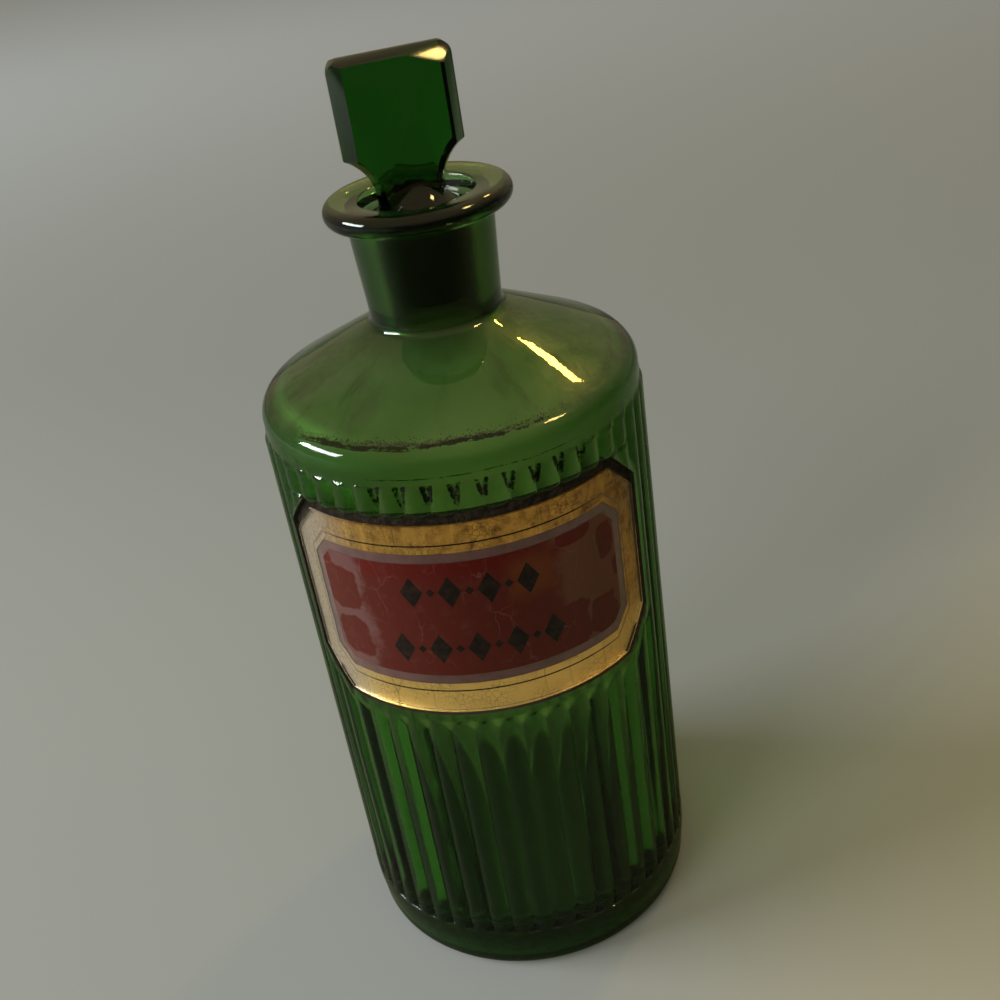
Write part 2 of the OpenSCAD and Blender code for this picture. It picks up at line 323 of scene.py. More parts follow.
@dataclass
class BottleShell:
    """The moulded bottle: one closed skin of glass from the base round the lip to the floor inside."""

    label: LabelSizes = field(default_factory=LabelSizes)
    body_r: float = 41.3 * MM
    body_h: float = 142.6 * MM
    base_edge: float = 3.0 * MM
    shoulder_edge: float = 4.4 * MM
    shoulder_slope: float = 26.5
    wall: float = 4.9 * MM
    shoulder_t: float = 4.2 * MM
    base_t: float = 7.0 * MM
    inner_edge: float = 6.0 * MM
    pushup: float = 2.4 * MM
    foot_w: float = 3.2 * MM
    neck_foot_r: float = 14.1 * MM
    neck_top_r: float = 15.3 * MM
    neck_l: float = 19.9 * MM
    neck_fillet: float = 2.6 * MM
    lip_r: float = 19.6 * MM
    lip_t: float = 4.7 * MM
    mouth_r: float = 12.1 * MM
    mouth_edge: float = 0.8 * MM
    lip_dish: float = 0.6 * MM
    bore_r: float = 10.45 * MM
    bore_drop: float = 4.7 * MM
    bore_l: float = 18.3 * MM
    joint_taper: float = 0.1
    reeds: int = 48
    reed_rise: float = 0.64 * MM
    groove_drop: float = 0.3 * MM
    land_drop: float = 0.15 * MM
    reed_low: float = 12.6 * MM
    reed_top_gap: float = 3.3 * MM
    reed_end: float = 2.2 * MM
    scoop: float = 1.9 * MM
    reed_turn: float = 1.1
    groove_run: float = 3.2 * MM
    crest_run: float = 1.6 * MM
    crest_room: float = 0.2 * MM
    corner_steps: int = 16
    panel_room: float = 0.05 * MM
    groove_close: Point = (-1.8 * MM, -0.6 * MM)
    sill_h: float = 0.9 * MM
    sill_drop: float = 0.35 * MM
    side_wave: float = 0.06 * MM
    shoulder_wave: float = 0.1 * MM
    neck_wave: float = 0.04 * MM
    inner_wave: float = 0.32 * MM
    bore_steps: int = 6
    pitched: int = 1
    scuffed: int = 2

    @property
    def crest_r(self) -> float:
        """Radius of the crests of the reeds."""
        return self.body_r + self.reed_rise

    @property
    def groove_r(self) -> float:
        """Radius at the bottom of the grooves."""
        return self.body_r - self.groove_drop

    @property
    def reed_high(self) -> float:
        """Height at which the reeds end."""
        return self.body_h - self.reed_top_gap

    @property
    def reed_step(self) -> float:
        """Angle from one reed to the next, in radians."""
        return 2 * math.pi / self.reeds

    @property
    def lip_top(self) -> float:
        """Height of the top of the lip."""
        return self.shoulder_line()[-1][1] + self.neck_l + self.lip_t

    @property
    def inner_r(self) -> float:
        """Radius inside the body."""
        return self.body_r - self.wall

    def slope_line(self, side_r: float, start: float, edge: float, neck_r: float) -> list[Point]:
        """Rounded edge, slope and fillet of a shoulder.

        Args:
            side_r: Radius below the shoulder.
            start: Height at which its edge starts.
            edge: Rounding of that edge.
            neck_r: Radius above the fillet.

        Returns:
            Points of radius and height, going up.
        """
        slope = math.radians(self.shoulder_slope)
        turn = 90.0 - self.shoulder_slope
        edge_points = arc((side_r - edge, start), edge, 0.0, turn, 9)
        foot_r = neck_r + self.neck_fillet * (1.0 - math.sin(slope))
        foot_z = edge_points[-1][1] + (edge_points[-1][0] - foot_r) * math.tan(slope)
        middle = (neck_r + self.neck_fillet, foot_z + self.neck_fillet * math.cos(slope))
        between = straight(edge_points[-1], (foot_r, foot_z), 6)
        return edge_points + between + arc(middle, self.neck_fillet, 180.0 + turn, 180.0, 7)

    def shoulder_line(self) -> list[Point]:
        """Outer outline of the shoulder, going up."""
        return self.slope_line(self.body_r, self.body_h, self.shoulder_edge, self.neck_foot_r)

    def neck_and_mouth(self) -> list[Point]:
        """Outer outline from the foot of the neck round the lip to the edge of the mouth."""
        foot = self.shoulder_line()[-1]
        top = (self.neck_top_r, foot[1] + self.neck_l)
        half_lip = self.lip_t / 2
        lip = arc((self.lip_r - half_lip, top[1] + half_lip), half_lip, -90.0, 90.0, 16)
        mouth_z = self.lip_top - self.lip_dish - self.mouth_edge
        edge = arc((self.mouth_r + self.mouth_edge, mouth_z), self.mouth_edge, 90.0, 180.0, 5)
        return straight(foot, top, 9) + [top] + lip + straight(lip[-1], edge[0], 4, 1.6) + edge

    def inner_line(self) -> list[Point]:
        """Inner outline from the top of the ground bore down to the middle of the floor."""
        bore_top = self.lip_top - self.bore_drop
        low_r = self.bore_r - self.bore_l * self.joint_taper / 2
        top, low = (self.bore_r, bore_top), (low_r, bore_top - self.bore_l)
        slope = math.radians(self.shoulder_slope)
        drop = self.shoulder_edge - self.shoulder_t - self.inner_edge
        spread = (self.wall + self.inner_edge - self.shoulder_edge) * math.sin(slope)
        inner_h = self.body_h + (drop + spread) / math.cos(slope)
        rising = self.slope_line(self.inner_r, inner_h, self.inner_edge, low_r)
        floor_z = self.pushup + self.base_t
        corner = (self.inner_r - self.inner_edge, floor_z + self.inner_edge)
        floor_edge = arc(corner, self.inner_edge, 0.0, -90.0, 8)
        wall = straight((self.inner_r, inner_h), floor_edge[0], 22)
        floor = [(self.inner_r * f, floor_z) for f in (0.6, 0.35, 0.12)]
        return [top] + straight(top, low, self.bore_steps) + [low] + rising[::-1] + wall + floor_edge + floor

    def base_line(self) -> list[Point]:
        """Outer outline under the base, from near its middle out to the side."""
        dome_w = self.body_r - self.base_edge - self.foot_w
        dome_r = (dome_w**2 + self.pushup**2) / (2 * self.pushup)
        tip = math.degrees(math.asin(dome_w / dome_r))
        dome = arc((0.0, self.pushup - dome_r), dome_r, 90.0, 90.0 - tip, 7)[1:]
        return dome + arc((self.body_r - self.base_edge, self.base_edge), self.base_edge, -90.0, 0.0, 7)

    def reed_radius(self, angle: np.ndarray) -> np.ndarray:
        """Radius of the reeded side, away from the ends of the reeds."""
        half = self.reed_step / 2
        chord = self.groove_r * math.sin(half)
        rise = self.crest_r - self.groove_r * math.cos(half)
        bow = (chord**2 + rise**2) / (2 * rise)
        middle = self.crest_r - bow
        turn = np.mod(angle - math.radians(self.reed_turn), self.reed_step) - half
        return middle * np.cos(turn) + np.sqrt(bow**2 - (middle * np.sin(turn)) ** 2)

    def side_radius(self, angle: np.ndarray, z: np.ndarray) -> np.ndarray:
        """Radius of the outer side: plain glass, domed reeds, and the land round the panel.

        Args:
            angle: Angles from the middle of the label.
            z: Heights.

        Returns:
            The radii.
        """
        limit_r = self.crest_r + self.crest_room
        dome = limit_r - self.body_r
        dome_r = (self.reed_end**2 + dome**2) / (2 * dome)
        into_end = np.maximum(z - (self.reed_high - self.reed_end), 0.0)
        cap = limit_r - dome_r + np.sqrt(np.maximum(dome_r**2 - into_end**2, 0.0))
        past_end = z - self.reed_high
        plain = self.groove_r + self.groove_drop * ramp(past_end, *self.groove_close)
        reeded = np.where(past_end < 0, np.minimum(self.reed_radius(angle), cap), 0.0)
        radius = np.maximum(plain, reeded)
        foot_r = self.body_r + (self.crest_r - self.body_r) * ramp(z, self.base_edge, 0.8 * self.reed_low)
        into_groove = np.clip((z - self.reed_low) / self.scoop, 0.0, 1.0)
        scooped = foot_r - (foot_r - self.groove_r) * np.sqrt(1.0 - (1.0 - into_groove) ** 2)
        radius = np.where(into_groove < 1.0, np.maximum(radius, scooped), radius)
        radius = np.where(z <= self.reed_low, foot_r, radius)
        land_r = self.crest_r - self.land_drop
        across = angle * self.body_r
        land = self.label.land()
        out = land.distance(across, z)
        run = land.distance(across, z, 4.0)
        allowed = land_r + (self.crest_r - land_r + self.crest_room) * ramp(out, 0.0, self.crest_run)
        filled = land_r - (land_r - self.groove_r) * np.clip(run / self.groove_run, 0.0, 1.0)
        below_top = z < land.high - 1e-6
        near = np.maximum(np.minimum(radius, allowed), np.where(run < self.groove_run, filled, 0.0))
        radius = np.where(below_top & (run < self.groove_run), near, radius)
        above = np.clip(1.0 - (z - land.high) / self.sill_h, 0.0, 1.0)
        over_panel = (z >= land.high - 1e-6) & (np.abs(across) < land.half_w)
        return np.where(over_panel, radius - self.sill_drop * above**2, radius)

    def wave(self, angle: np.ndarray, z: np.ndarray, phase: float) -> np.ndarray:
        """Slow unevenness of the glass, between about -1 and 1."""
        k = z / MM
        slow = np.sin(2 * angle + phase + k / 47.0) * np.cos(k / 31.0 + phase)
        middle = np.sin(5 * angle - 1.7 * phase + k / 19.0) * np.sin(k / 13.0 + 2 * phase)
        quick = np.sin(11 * angle + 2.3 * phase - k / 9.0) * np.cos(k / 7.5 - phase)
        return 0.55 * slow + 0.3 * middle + 0.15 * quick

    def columns(self) -> np.ndarray:
        """Angles of the upright mesh lines: a few in each reed, and even ones across the cut corners."""
        share = np.array([0.0, 0.07, 0.2, 0.35, 0.5, 0.65, 0.8, 0.93])
        turns = (np.arange(self.reeds)[:, None] + share[None, :]).ravel() * self.reed_step
        turns = np.mod(turns + math.radians(self.reed_turn) + math.pi, 2 * math.pi) - math.pi
        edge = self.label.recess()
        corner = edge.half_w - edge.leg + edge.leg * np.arange(self.corner_steps + 1) / self.corner_steps
        corner = corner / self.body_r
        fixed = np.concatenate([corner, -corner])
        clear = 0.22 * MM / self.body_r
        outside = (np.abs(turns) < corner[0] - clear) | (np.abs(turns) > corner[-1] + clear)
        chosen = np.sort(np.concatenate([turns[outside], fixed]))
        return np.delete(chosen, np.argmax(np.abs(chosen))) if len(chosen) % 2 else chosen

    def rows(self) -> np.ndarray:
        """Heights of the level mesh lines of the side, close together where its shape changes."""
        edge = self.label.recess()
        low_land = self.label.land().low
        corner = edge.leg * np.arange(self.corner_steps + 1) / self.corner_steps
        scooped = self.reed_low + 1.2 * self.scoop
        rising = low_land - self.groove_run - 0.6 * MM
        domed = self.reed_high - self.reed_end - 0.4 * MM
        sill = edge.high + 1.2 * MM
        stretches = [
            np.linspace(self.base_edge, self.reed_low, 6),
            self.reed_low + self.scoop * np.array([0.01, 0.04, 0.1, 0.19, 0.3, 0.45, 0.62, 0.8, 1.0, 1.2]),
            np.linspace(scooped, rising, 18),
            np.linspace(rising, low_land, 11),
            np.linspace(low_land, edge.low, 5),
            edge.low + corner,
            np.linspace(edge.low + edge.leg, edge.high - edge.leg, 14),
            edge.high - corner[::-1],
            np.linspace(edge.high, sill, 5),
            np.linspace(sill, domed, 4),
            np.linspace(domed, self.reed_high, 12),
            np.linspace(self.reed_high, self.body_h, 4),
        ]
        return np.unique(np.round(np.concatenate(stretches), 8))

    def plain_ring(self, skin: Skin, point: Point, amount: float, phase: float, turns: np.ndarray) -> Ring:
        """Adds a round ring with a little unevenness and returns the numbers of its points."""
        z = np.full(len(turns), point[1])
        return skin.add_ring(point[0] + amount * self.wave(turns, z, phase), z, turns)

    def grow(
        self, skin: Skin, ring: Ring, line: list[Point], amount: float, phase: float, turns: np.ndarray
    ) -> Ring:
        """Adds round rings along an outline, each joined to the one before.

        Args:
            skin: Mesh that grows.
            ring: Ring that the first of them is joined to.
            line: The outline.
            amount: Height of its unevenness.
            phase: Number that sets the unevenness apart from others.
            turns: Angles of the points of a ring.

        Returns:
            The last ring.
        """
        for point in line:
            above = self.plain_ring(skin, point, amount, phase, turns)
            skin.join(ring, above)
            ring = above
        return ring

    def make_mesh(self) -> bpy.types.Mesh:
        """Builds the whole skin of glass.

        Returns:
            The closed mesh.
        """
        turns = self.columns()
        skin = Skin()
        base = self.base_line()
        edge_r = self.body_r - 0.6 * self.base_edge
        pole = skin.add_point(0.0, self.pushup)
        ring = self.plain_ring(skin, base[0], 0.0, 0.0, turns)
        skin.faces.extend((pole, b, a) for a, b in pairs(ring))
        ring = self.grow(skin, ring, [p for p in base[1:-1] if p[0] < edge_r], 0.0, 0.0, turns)
        skin.finishes.update(dict.fromkeys(range(len(skin.faces)), self.scuffed))
        ring = self.grow(skin, ring, [p for p in base[1:-1] if p[0] >= edge_r], 0.0, 0.0, turns)
        ring = self.add_side(skin, turns, ring)
        ring = self.grow(skin, ring, self.shoulder_line()[1:], self.shoulder_wave, 0.4, turns)
        outer = self.grow(skin, ring, self.neck_and_mouth(), self.neck_wave, 0.9, turns)
        inner = self.inner_line()
        inside = len(skin.points)
        ring = self.plain_ring(skin, inner[0], 0.0, 0.0, turns[::2])
        for (a, b, c), (p, q) in zip(zip(outer[::2], outer[1::2], outer[2::2] + outer[:1]), pairs(ring)):
            skin.faces.extend([(a, b, p), (b, q, p), (b, c, q)])
        bore_low = inner[self.bore_steps][1]
        for point in inner[1:]:
            depth = min(1.0, max(0.0, (bore_low - point[1]) / (14 * MM)))
            amount = self.inner_wave * depth * min(1.0, point[0] / self.inner_r)
            ring = self.grow(skin, ring, [point], amount, 2.1, turns[::2])
        pole = skin.add_point(0.0, self.pushup + self.base_t)
        skin.faces.extend((a, b, pole) for a, b in pairs(ring))
        return build_mesh("bottle_glass", skin.points, skin.faces, Edge.CRISP, inside, skin.finishes)

    def add_side(self, skin: Skin, turns: np.ndarray, below: Ring) -> Ring:
        """Adds the reeded side with the sunk panel.

        Args:
            skin: Mesh that grows.
            turns: Angles of the upright mesh lines.
            below: Ring of points under the side.

        Returns:
            The ring at the top of the side.
        """
        heights = self.rows()
        edge = self.label.recess()
        across = turns * self.body_r
        grid = []
        for z in heights:
            level = np.full(len(turns), z)
            radius = self.side_radius(turns, level) + self.side_wave * self.wave(turns, level, 0.4)
            grid.append(skin.add_ring(radius, level, turns))
        floor_r = self.body_r - self.label.panel_depth - self.panel_room
        reach = edge.distance(across[None, :], heights[:, None])
        mid_across = (across + np.roll(across, -1)) / 2
        middle = edge.distance(mid_across[None, :], (heights[:-1, None] + heights[1:, None]) / 2)
        inside = [(int(i), int(j)) for i, j in np.argwhere(reach <= 1e-7)]
        floor = {(i, j): skin.add_point(floor_r, heights[i], turns[j]) for i, j in inside}
        skin.join(below, grid[0])
        rim: dict[tuple, None] = {}

        def add_cell(cell: list[tuple[int, int]], sunk: bool) -> None:
            """Adds a face of the side, or of the floor of the panel."""
            if sunk:
                skin.add_face(tuple(floor[corner] for corner in cell), self.pitched)
                toggle(rim, cell)
            else:
                skin.add_face(tuple(grid[i][j] for i, j in cell))

        for i, j in np.ndindex(len(heights) - 1, len(turns)):
            k = (j + 1) % len(turns)
            cell = [(i, j), (i, k), (i + 1, k), (i + 1, j)]
            if k == 0 or abs(middle[i, j]) > 1e-6:
                add_cell(cell, k > 0 and middle[i, j] < 0)
                continue
            depths = [reach[corner] for corner in cell]
            far = int(np.argmax(np.abs(depths)))
            add_cell([cell[(far + s) % 4] for s in (-1, 0, 1)], depths[far] < 0)
            add_cell([cell[(far + s) % 4] for s in (1, 2, 3)], depths[far] >= 0)
        for a, b in rim:
            skin.add_face((floor[b], floor[a], grid[a[0]][a[1]], grid[b[0]][b[1]]), self.pitched)
        return grid[-1]


class Wire:
    """Output of a node, which can be reckoned with."""

    def __init__(self, graph: "Graph", socket: bpy.types.NodeSocket) -> None:
        """Holds a socket and the graph that it is in."""
        self.graph = graph
        self.socket = socket

    def __add__(self, other: object) -> "Wire":
        """The sum."""
        return self.graph.maths("ADD", self, other)

    def __sub__(self, other: object) -> "Wire":
        """This less the other."""
        return self.graph.maths("SUBTRACT", self, other)

    def __rsub__(self, other: object) -> "Wire":
        """The other less this."""
        return self.graph.maths("SUBTRACT", other, self)

    def __mul__(self, other: object) -> "Wire":
        """The product."""
        return self.graph.maths("MULTIPLY", self, other)

    def __truediv__(self, other: object) -> "Wire":
        """This divided by the other."""
        return self.graph.maths("DIVIDE", self, other)

    def __abs__(self) -> "Wire":
        """The size of this."""
        return self.graph.maths("ABSOLUTE", self)


class Graph:
    """A node tree with short calls that add nodes and join them."""

    def __init__(self, tree: bpy.types.NodeTree) -> None:
        """Starts on a tree."""
        self.tree = tree

    def add(self, kind: str, values: dict | None = None, **settings) -> bpy.types.Node:
        """Adds a node.

        Args:
            kind: Its type.
            values: Input name or number, with a value or with the wire that feeds it.
            **settings: Properties of the node.

        Returns:
            The node.
        """
        node = self.tree.nodes.new(kind)
        for name, value in settings.items():
            setattr(node, name, value)
        for name, value in (values or {}).items():
            self.feed(node.inputs[name], value)
        return node

    def out(self, kind: str, values: dict | None = None, output: int | str = 0, **settings) -> Wire:
        """Adds a node and returns one of its outputs.

        Args:
            kind: Its type.
            values: As in add.
            output: Name or number of the output.
            **settings: As in add.

        Returns:
            The output.
        """
        return Wire(self, self.add(kind, values, **settings).outputs[output])

    def feed(self, socket: bpy.types.NodeSocket, value: object) -> None:
        """Joins a socket to an output, or sets its value."""
        if isinstance(value, Wire):
            self.tree.links.new(value.socket, socket)
        elif isinstance(value, tuple) and len(value) == 3 and socket.type == "RGBA":
            socket.default_value = (*value, 1.0)
        else:
            socket.default_value = value

    def maths(self, operation: str, *values: object, clamp: bool = False) -> Wire:
        """Result of a Math node."""
        return self.out("ShaderNodeMath", dict(enumerate(values)), operation=operation, use_clamp=clamp)

    def most(self, *values: object, clamp: bool = False) -> Wire:
        """The larger of two numbers."""
        return self.maths("MAXIMUM", *values, clamp=clamp)

    def vector(self, operation: str, *values: object) -> Wire:
        """Result of a Vector Math node."""
        output = "Value" if operation == "LENGTH" else "Vector"
        return self.out("ShaderNodeVectorMath", dict(enumerate(values)), output, operation=operation)

    def scaled(self, vector: object, factor: float) -> Wire:
        """A vector times a number."""
        return self.out("ShaderNodeVectorMath", {0: vector, "Scale": factor}, operation="SCALE")

    def place(self) -> Wire:
        """Place in the object, in metres."""
        return self.out("ShaderNodeTexCoord", output="Object")

    def ray(self, kind: str) -> Wire:
        """1 for a ray of a kind, 0 for any other."""
        return self.out("ShaderNodeLightPath", output=f"Is {kind} Ray")

    def split(self, vector: object) -> list[Wire]:
        """The three parts of a vector."""
        return [Wire(self, part) for part in self.add("ShaderNodeSeparateXYZ", {0: vector}).outputs]

    def joined(self, *parts: object) -> Wire:
        """A vector of up to three parts."""
        return self.out("ShaderNodeCombineXYZ", dict(enumerate(parts)))

    def turn(self, x: Wire, y: Wire) -> Wire:
        """Angle round the bottle from the middle of the label, in radians."""
        return self.maths("ARCTAN2", x, y * -1.0)

    def rise(self, value: object, low: float, high: float) -> Wire:
        """Smooth rise from 0 where the value is low to 1 where it is high."""
        values = {"Value": value, "From Min": low, "From Max": high, "To Min": 0.0, "To Max": 1.0}
        return self.out("ShaderNodeMapRange", values, interpolation_type="SMOOTHSTEP")

    def within(self, value: object, low: Point, high: Point) -> Wire:
        """1 between two limits, with a smooth rise to each of them."""
        return self.rise(value, *low) * self.rise(value, *high)

    def blend(self, factor: object, first: object, second: object) -> Wire:
        """Colour between two colours."""
        return self.out("ShaderNodeMix", {0: factor, 6: first, 7: second}, 2, data_type="RGBA")

    def noise(self, place: object, scale: float, detail: float = 3.0, rough: float = 0.5) -> Wire:
        """Value of a noise texture."""
        values = {"Vector": place, "Scale": scale, "Detail": detail, "Roughness": rough}
        return self.out("ShaderNodeTexNoise", values)

    def bump(self, distance: float, height: object) -> Wire:
        """Normal of an uneven surface."""
        return self.out("ShaderNodeBump", {"Distance": distance, "Height": height})

    def group(self, tree: bpy.types.NodeTree, values: dict | None = None) -> Wire:
        """First output of a shared group of shader nodes."""
        return self.out("ShaderNodeGroup", values, node_tree=tree)

    def surface(
        self, out: bpy.types.Node, shine: float, colour: object, rough: object, **more: object
    ) -> None:
        """Adds the shader of a finish that isn't glass.

        Args:
            out: Output node of the material.
            shine: Strength of its gloss.
            colour: Its colour.
            rough: Its roughness.
            **more: Other inputs by name.
        """
        shader = self.add("ShaderNodeBsdfPrincipled", {"Base Color": colour, "Roughness": rough, **more})
        shader.inputs["Specular IOR Level"].default_value = shine
        self.feed(out.inputs["Surface"], Wire(self, shader.outputs[0]))

    def dressed(self, out: bpy.types.Node, geometry: Wire, finish: Wire) -> None:
        """Ends geometry nodes with real geometry that has its material."""
        solid = self.out("GeometryNodeRealizeInstances", {0: geometry})
        self.feed(out.inputs[0], self.out("GeometryNodeSetMaterial", {"Geometry": solid, "Material": finish}))


def new_group(name: str, kind: str, ins: dict[str, object], outs: dict[str, str]) -> tuple:
    """Starts a node group with named sockets.

    Args:
        name: Name of the group.
        kind: Type of its tree.
        ins: Default value of each input, or its socket type where it has none.
        outs: Socket type of each output.

    Returns:
        The graph, its inputs by name and its output node.
    """
    tree = bpy.data.node_groups.new(name, kind)
    for socket, value in ins.items():
        plain = value if isinstance(value, str) else SOCKET_TYPES[type(value)]
        made = tree.interface.new_socket(socket, in_out="INPUT", socket_type=f"NodeSocket{plain}")
        if plain != value:
            made.default_value = value
    for socket, plain in outs.items():
        tree.interface.new_socket(socket, in_out="OUTPUT", socket_type=f"NodeSocket{plain}")
    graph = Graph(tree)
    given = {socket.name: Wire(graph, socket) for socket in graph.add("NodeGroupInput").outputs}
    return graph, given, graph.add("NodeGroupOutput")


class Effects:
    """Node groups that more than one finish uses."""

    def __init__(self, body_r: float) -> None:
        """Builds the groups.

        Args:
            body_r: Radius that the label is measured round, in metres.
        """
        self.label_place = self.make_label_place(body_r)
        self.island = self.make_island()
        self.cracks = self.make_cracks()
        self.film = self.make_film()
        self.dirt = self.make_dirt()

    @staticmethod
    def make_label_place(body_r: float) -> bpy.types.NodeTree:
        """Millimetres across and up on the label, from the middle of its lower line of height 0."""
        graph, _, out = new_group("label_place", SHADER, {}, {"Place": "Vector"})
        x, y, z = graph.split(graph.place())
        graph.feed(out.inputs[0], graph.joined(graph.turn(x, y) * (body_r / MM), z * (1.0 / MM)))
        return graph.tree

    @staticmethod
    def make_island() -> bpy.types.NodeTree:
        """Mask of a ragged oval patch."""
        ins = {"Place": "Vector", "Middle": (0.0, 0.0, 0.0), "Size": (1.0, 1.0, 1.0)}
        ins |= {"Ragged": 0.75, "Soft": 0.08}
        graph, given, out = new_group("ragged_patch", SHADER, ins, {"Mask": "Float"})
        from_middle = graph.vector("SUBTRACT", given["Place"], given["Middle"])
        scaled = graph.vector("DIVIDE", from_middle, given["Size"])
        squared = graph.vector("MULTIPLY", scaled, scaled)
        reach = graph.maths("SQRT", graph.vector("LENGTH", squared))
        wobble = graph.noise(given["Place"], 0.3, 3.0) - 0.5
        inside = 1.0 - (reach + wobble * given["Ragged"])
        graph.feed(out.inputs[0], graph.maths("DIVIDE", inside, given["Soft"], clamp=True))
        return graph.tree

    @staticmethod
    def make_cracks() -> bpy.types.NodeTree:
        """Mask of fine crazing that comes and goes over the surface."""
        ins = {"Place": "Vector", "Scale": 0.4, "Width": 0.04, "Cover": 0.5}
        graph, given, out = new_group("crazing", SHADER, ins, {"Mask": "Float"})
        wobble = graph.out("ShaderNodeTexNoise", {"Vector": given["Place"], "Scale": 0.5}, 1)
        bent = graph.vector("ADD", given["Place"], graph.scaled(wobble, 1.4))
        values = {"Vector": bent, "Scale": given["Scale"]}
        cells = graph.out("ShaderNodeTexVoronoi", values, feature="DISTANCE_TO_EDGE")
        line = graph.maths("SUBTRACT", 1.0, cells / given["Width"], clamp=True)
        patch = graph.noise(given["Place"], 0.11, 2.0) + given["Cover"]
        graph.feed(out.inputs[0], line * graph.rise(patch, 0.85, 1.1))
        return graph.tree

    @staticmethod
    def make_film() -> bpy.types.NodeTree:
        """Roughness and height of glass that is a little smeared and uneven."""
        outs = {"Roughness": "Float", "Height": "Float"}
        graph, given, out = new_group("glass_film", SHADER, {"Smears": 0.05, "Clean": 0.01}, outs)
        place = graph.place()
        smear = graph.rise(graph.noise(place, 55.0, 5.0, 0.65), 0.45, 0.75)
        graph.feed(out.inputs["Roughness"], smear * given["Smears"] + given["Clean"])
        ripple = graph.noise(place, 260.0, 2.0)
        graph.feed(out.inputs["Height"], ripple * 0.12 + graph.noise(place, 70.0, 1.0))
        return graph.tree

    @staticmethod
    def make_dirt() -> bpy.types.NodeTree:
        """Mask of old dirt along the rim of the shoulder and at the upper ends of the grooves, and of dark
        ovals at their lower ends.
        """
        ins = {
            "Rim height": 146.45, "Groove end": 139.4, "Line height": 140.7, "Pocket height": 13.6,
            "Groove step": 7.5, "Groove turn": 1.1,
        }
        graph, given, out = new_group("dirt_and_groove_ovals", SHADER, ins, {"Mask": "Float"})
        rise = graph.rise
        place = graph.place()
        x, y, z = graph.split(place)
        turn = graph.turn(x, y) * math.degrees(1.0)
        up = z * (1.0 / MM)
        clots = graph.noise(place, 420.0, 2.0)
        speckle = clots * 0.8 + graph.noise(place, 1700.0, 3.0, 0.7)
        bent = (graph.noise(place, 110.0, 2.0) - 0.5) * 0.9 + up

        def near(height: object, reach: float) -> Wire:
            """1 at a height and 0 a reach above and below it."""
            return rise(abs(bent - height), reach, 0.0)

        front = graph.within(turn, (-62.0, -40.0), (52.0, 12.0))
        band = near(given["Rim height"], 0.62) * front
        rim = rise(band * 0.62 + speckle, 1.3, 1.42)
        edge = near(given["Rim height"] - 0.3, 0.2) * (front * rise(turn, 20.0, -20.0))
        rim = graph.most(rim, rise(edge * 0.7 + speckle, 1.25, 1.42))
        reeds = graph.within(turn, (-34.0, -18.0), (50.0, 34.0))
        share = graph.maths("FRACT", (turn - given["Groove turn"]) / given["Groove step"] + 100.5)
        aside = abs(share - 0.5)
        below = given["Groove end"] - bent
        room = below * -0.034 + 0.3 - aside
        wedge = rise(room, -0.03, 0.07) - rise(room, 0.12, 0.26) * 0.45
        marks = wedge * graph.within(below, (-0.3, 0.5), (7.0, 3.0)) * reeds
        marks = rise(marks * 0.62 + speckle, 1.22, 1.45)
        dashes = near(given["Line height"], 0.26) * reeds
        marks = graph.most(marks, rise(dashes * 0.55 + speckle, 1.22, 1.42))
        # Dark ovals at the lower ends of the grooves.
        high = (up - given["Pocket height"]) / 0.95
        wide = aside / 0.27
        pocket = rise(clots * 0.5 + (high * high + wide * wide), 1.4, 1.05)
        marks = graph.most(marks, pocket * 0.96)
        graph.feed(out.inputs[0], graph.most(rim, marks, clamp=True))
        return graph.tree


def start_material(name: str) -> tuple[bpy.types.Material, Graph, bpy.types.Node]:
    """Starts a material and returns it with its graph and its output node."""
    material = bpy.data.materials.new(name)
    material.use_nodes = True
    material.node_tree.nodes.clear()
    graph = Graph(material.node_tree)
    return material, graph, graph.add("ShaderNodeOutputMaterial")


@dataclass(frozen=True)
class Zones:
    """Pairs of heights, in metres: a film, a stain, painted light or painted shade is nowhere at the first
    and everywhere at the second.

    Args:
        foot: Painted shade round the foot, for its rounded edge and the floor it stands on.
        settled: What settled on the floor inside.
        splash_in: Film of splashes inside, from below.
        splash_out: The same, from above.
        painted_light_start: Start of the lighter tint inside that is painted light, as the height plus half
            of Y.
        painted_light_end: End of that painted light, from above.
        neck_shade: Dark tint inside the neck, which is painted shade.
        smudge_in: Smudges on the shoulder, from below.
        smudge_out: The same, from above.
        neck_in: Film outside on the neck, from below.
        neck_out: The same, from above.
        lip_top: Film on top of the lip.
        mouth: Dust in the mouth.
        mouth_r: Radius within which that dust lies.
    """

    foot: Point = (0.0054, 0.004)
    settled: Point = (0.016, 0.0085)
    splash_in: Point = (0.11, 0.135)
    splash_out: Point = (0.162, 0.153)
    painted_light_start: Point = (0.03, 0.055)
    painted_light_end: Point = (0.15, 0.145)
    neck_shade: Point = (0.151, 0.158)
    smudge_in: Point = (0.1445, 0.1475)
    smudge_out: Point = (0.16, 0.156)
    neck_in: Point = (0.153, 0.159)
    neck_out: Point = (0.18, 0.177)
    lip_top: Point = (0.1805, 0.1825)
    mouth: Point = (0.1815, 0.183)
    mouth_r: Point = (0.0148, 0.0125)


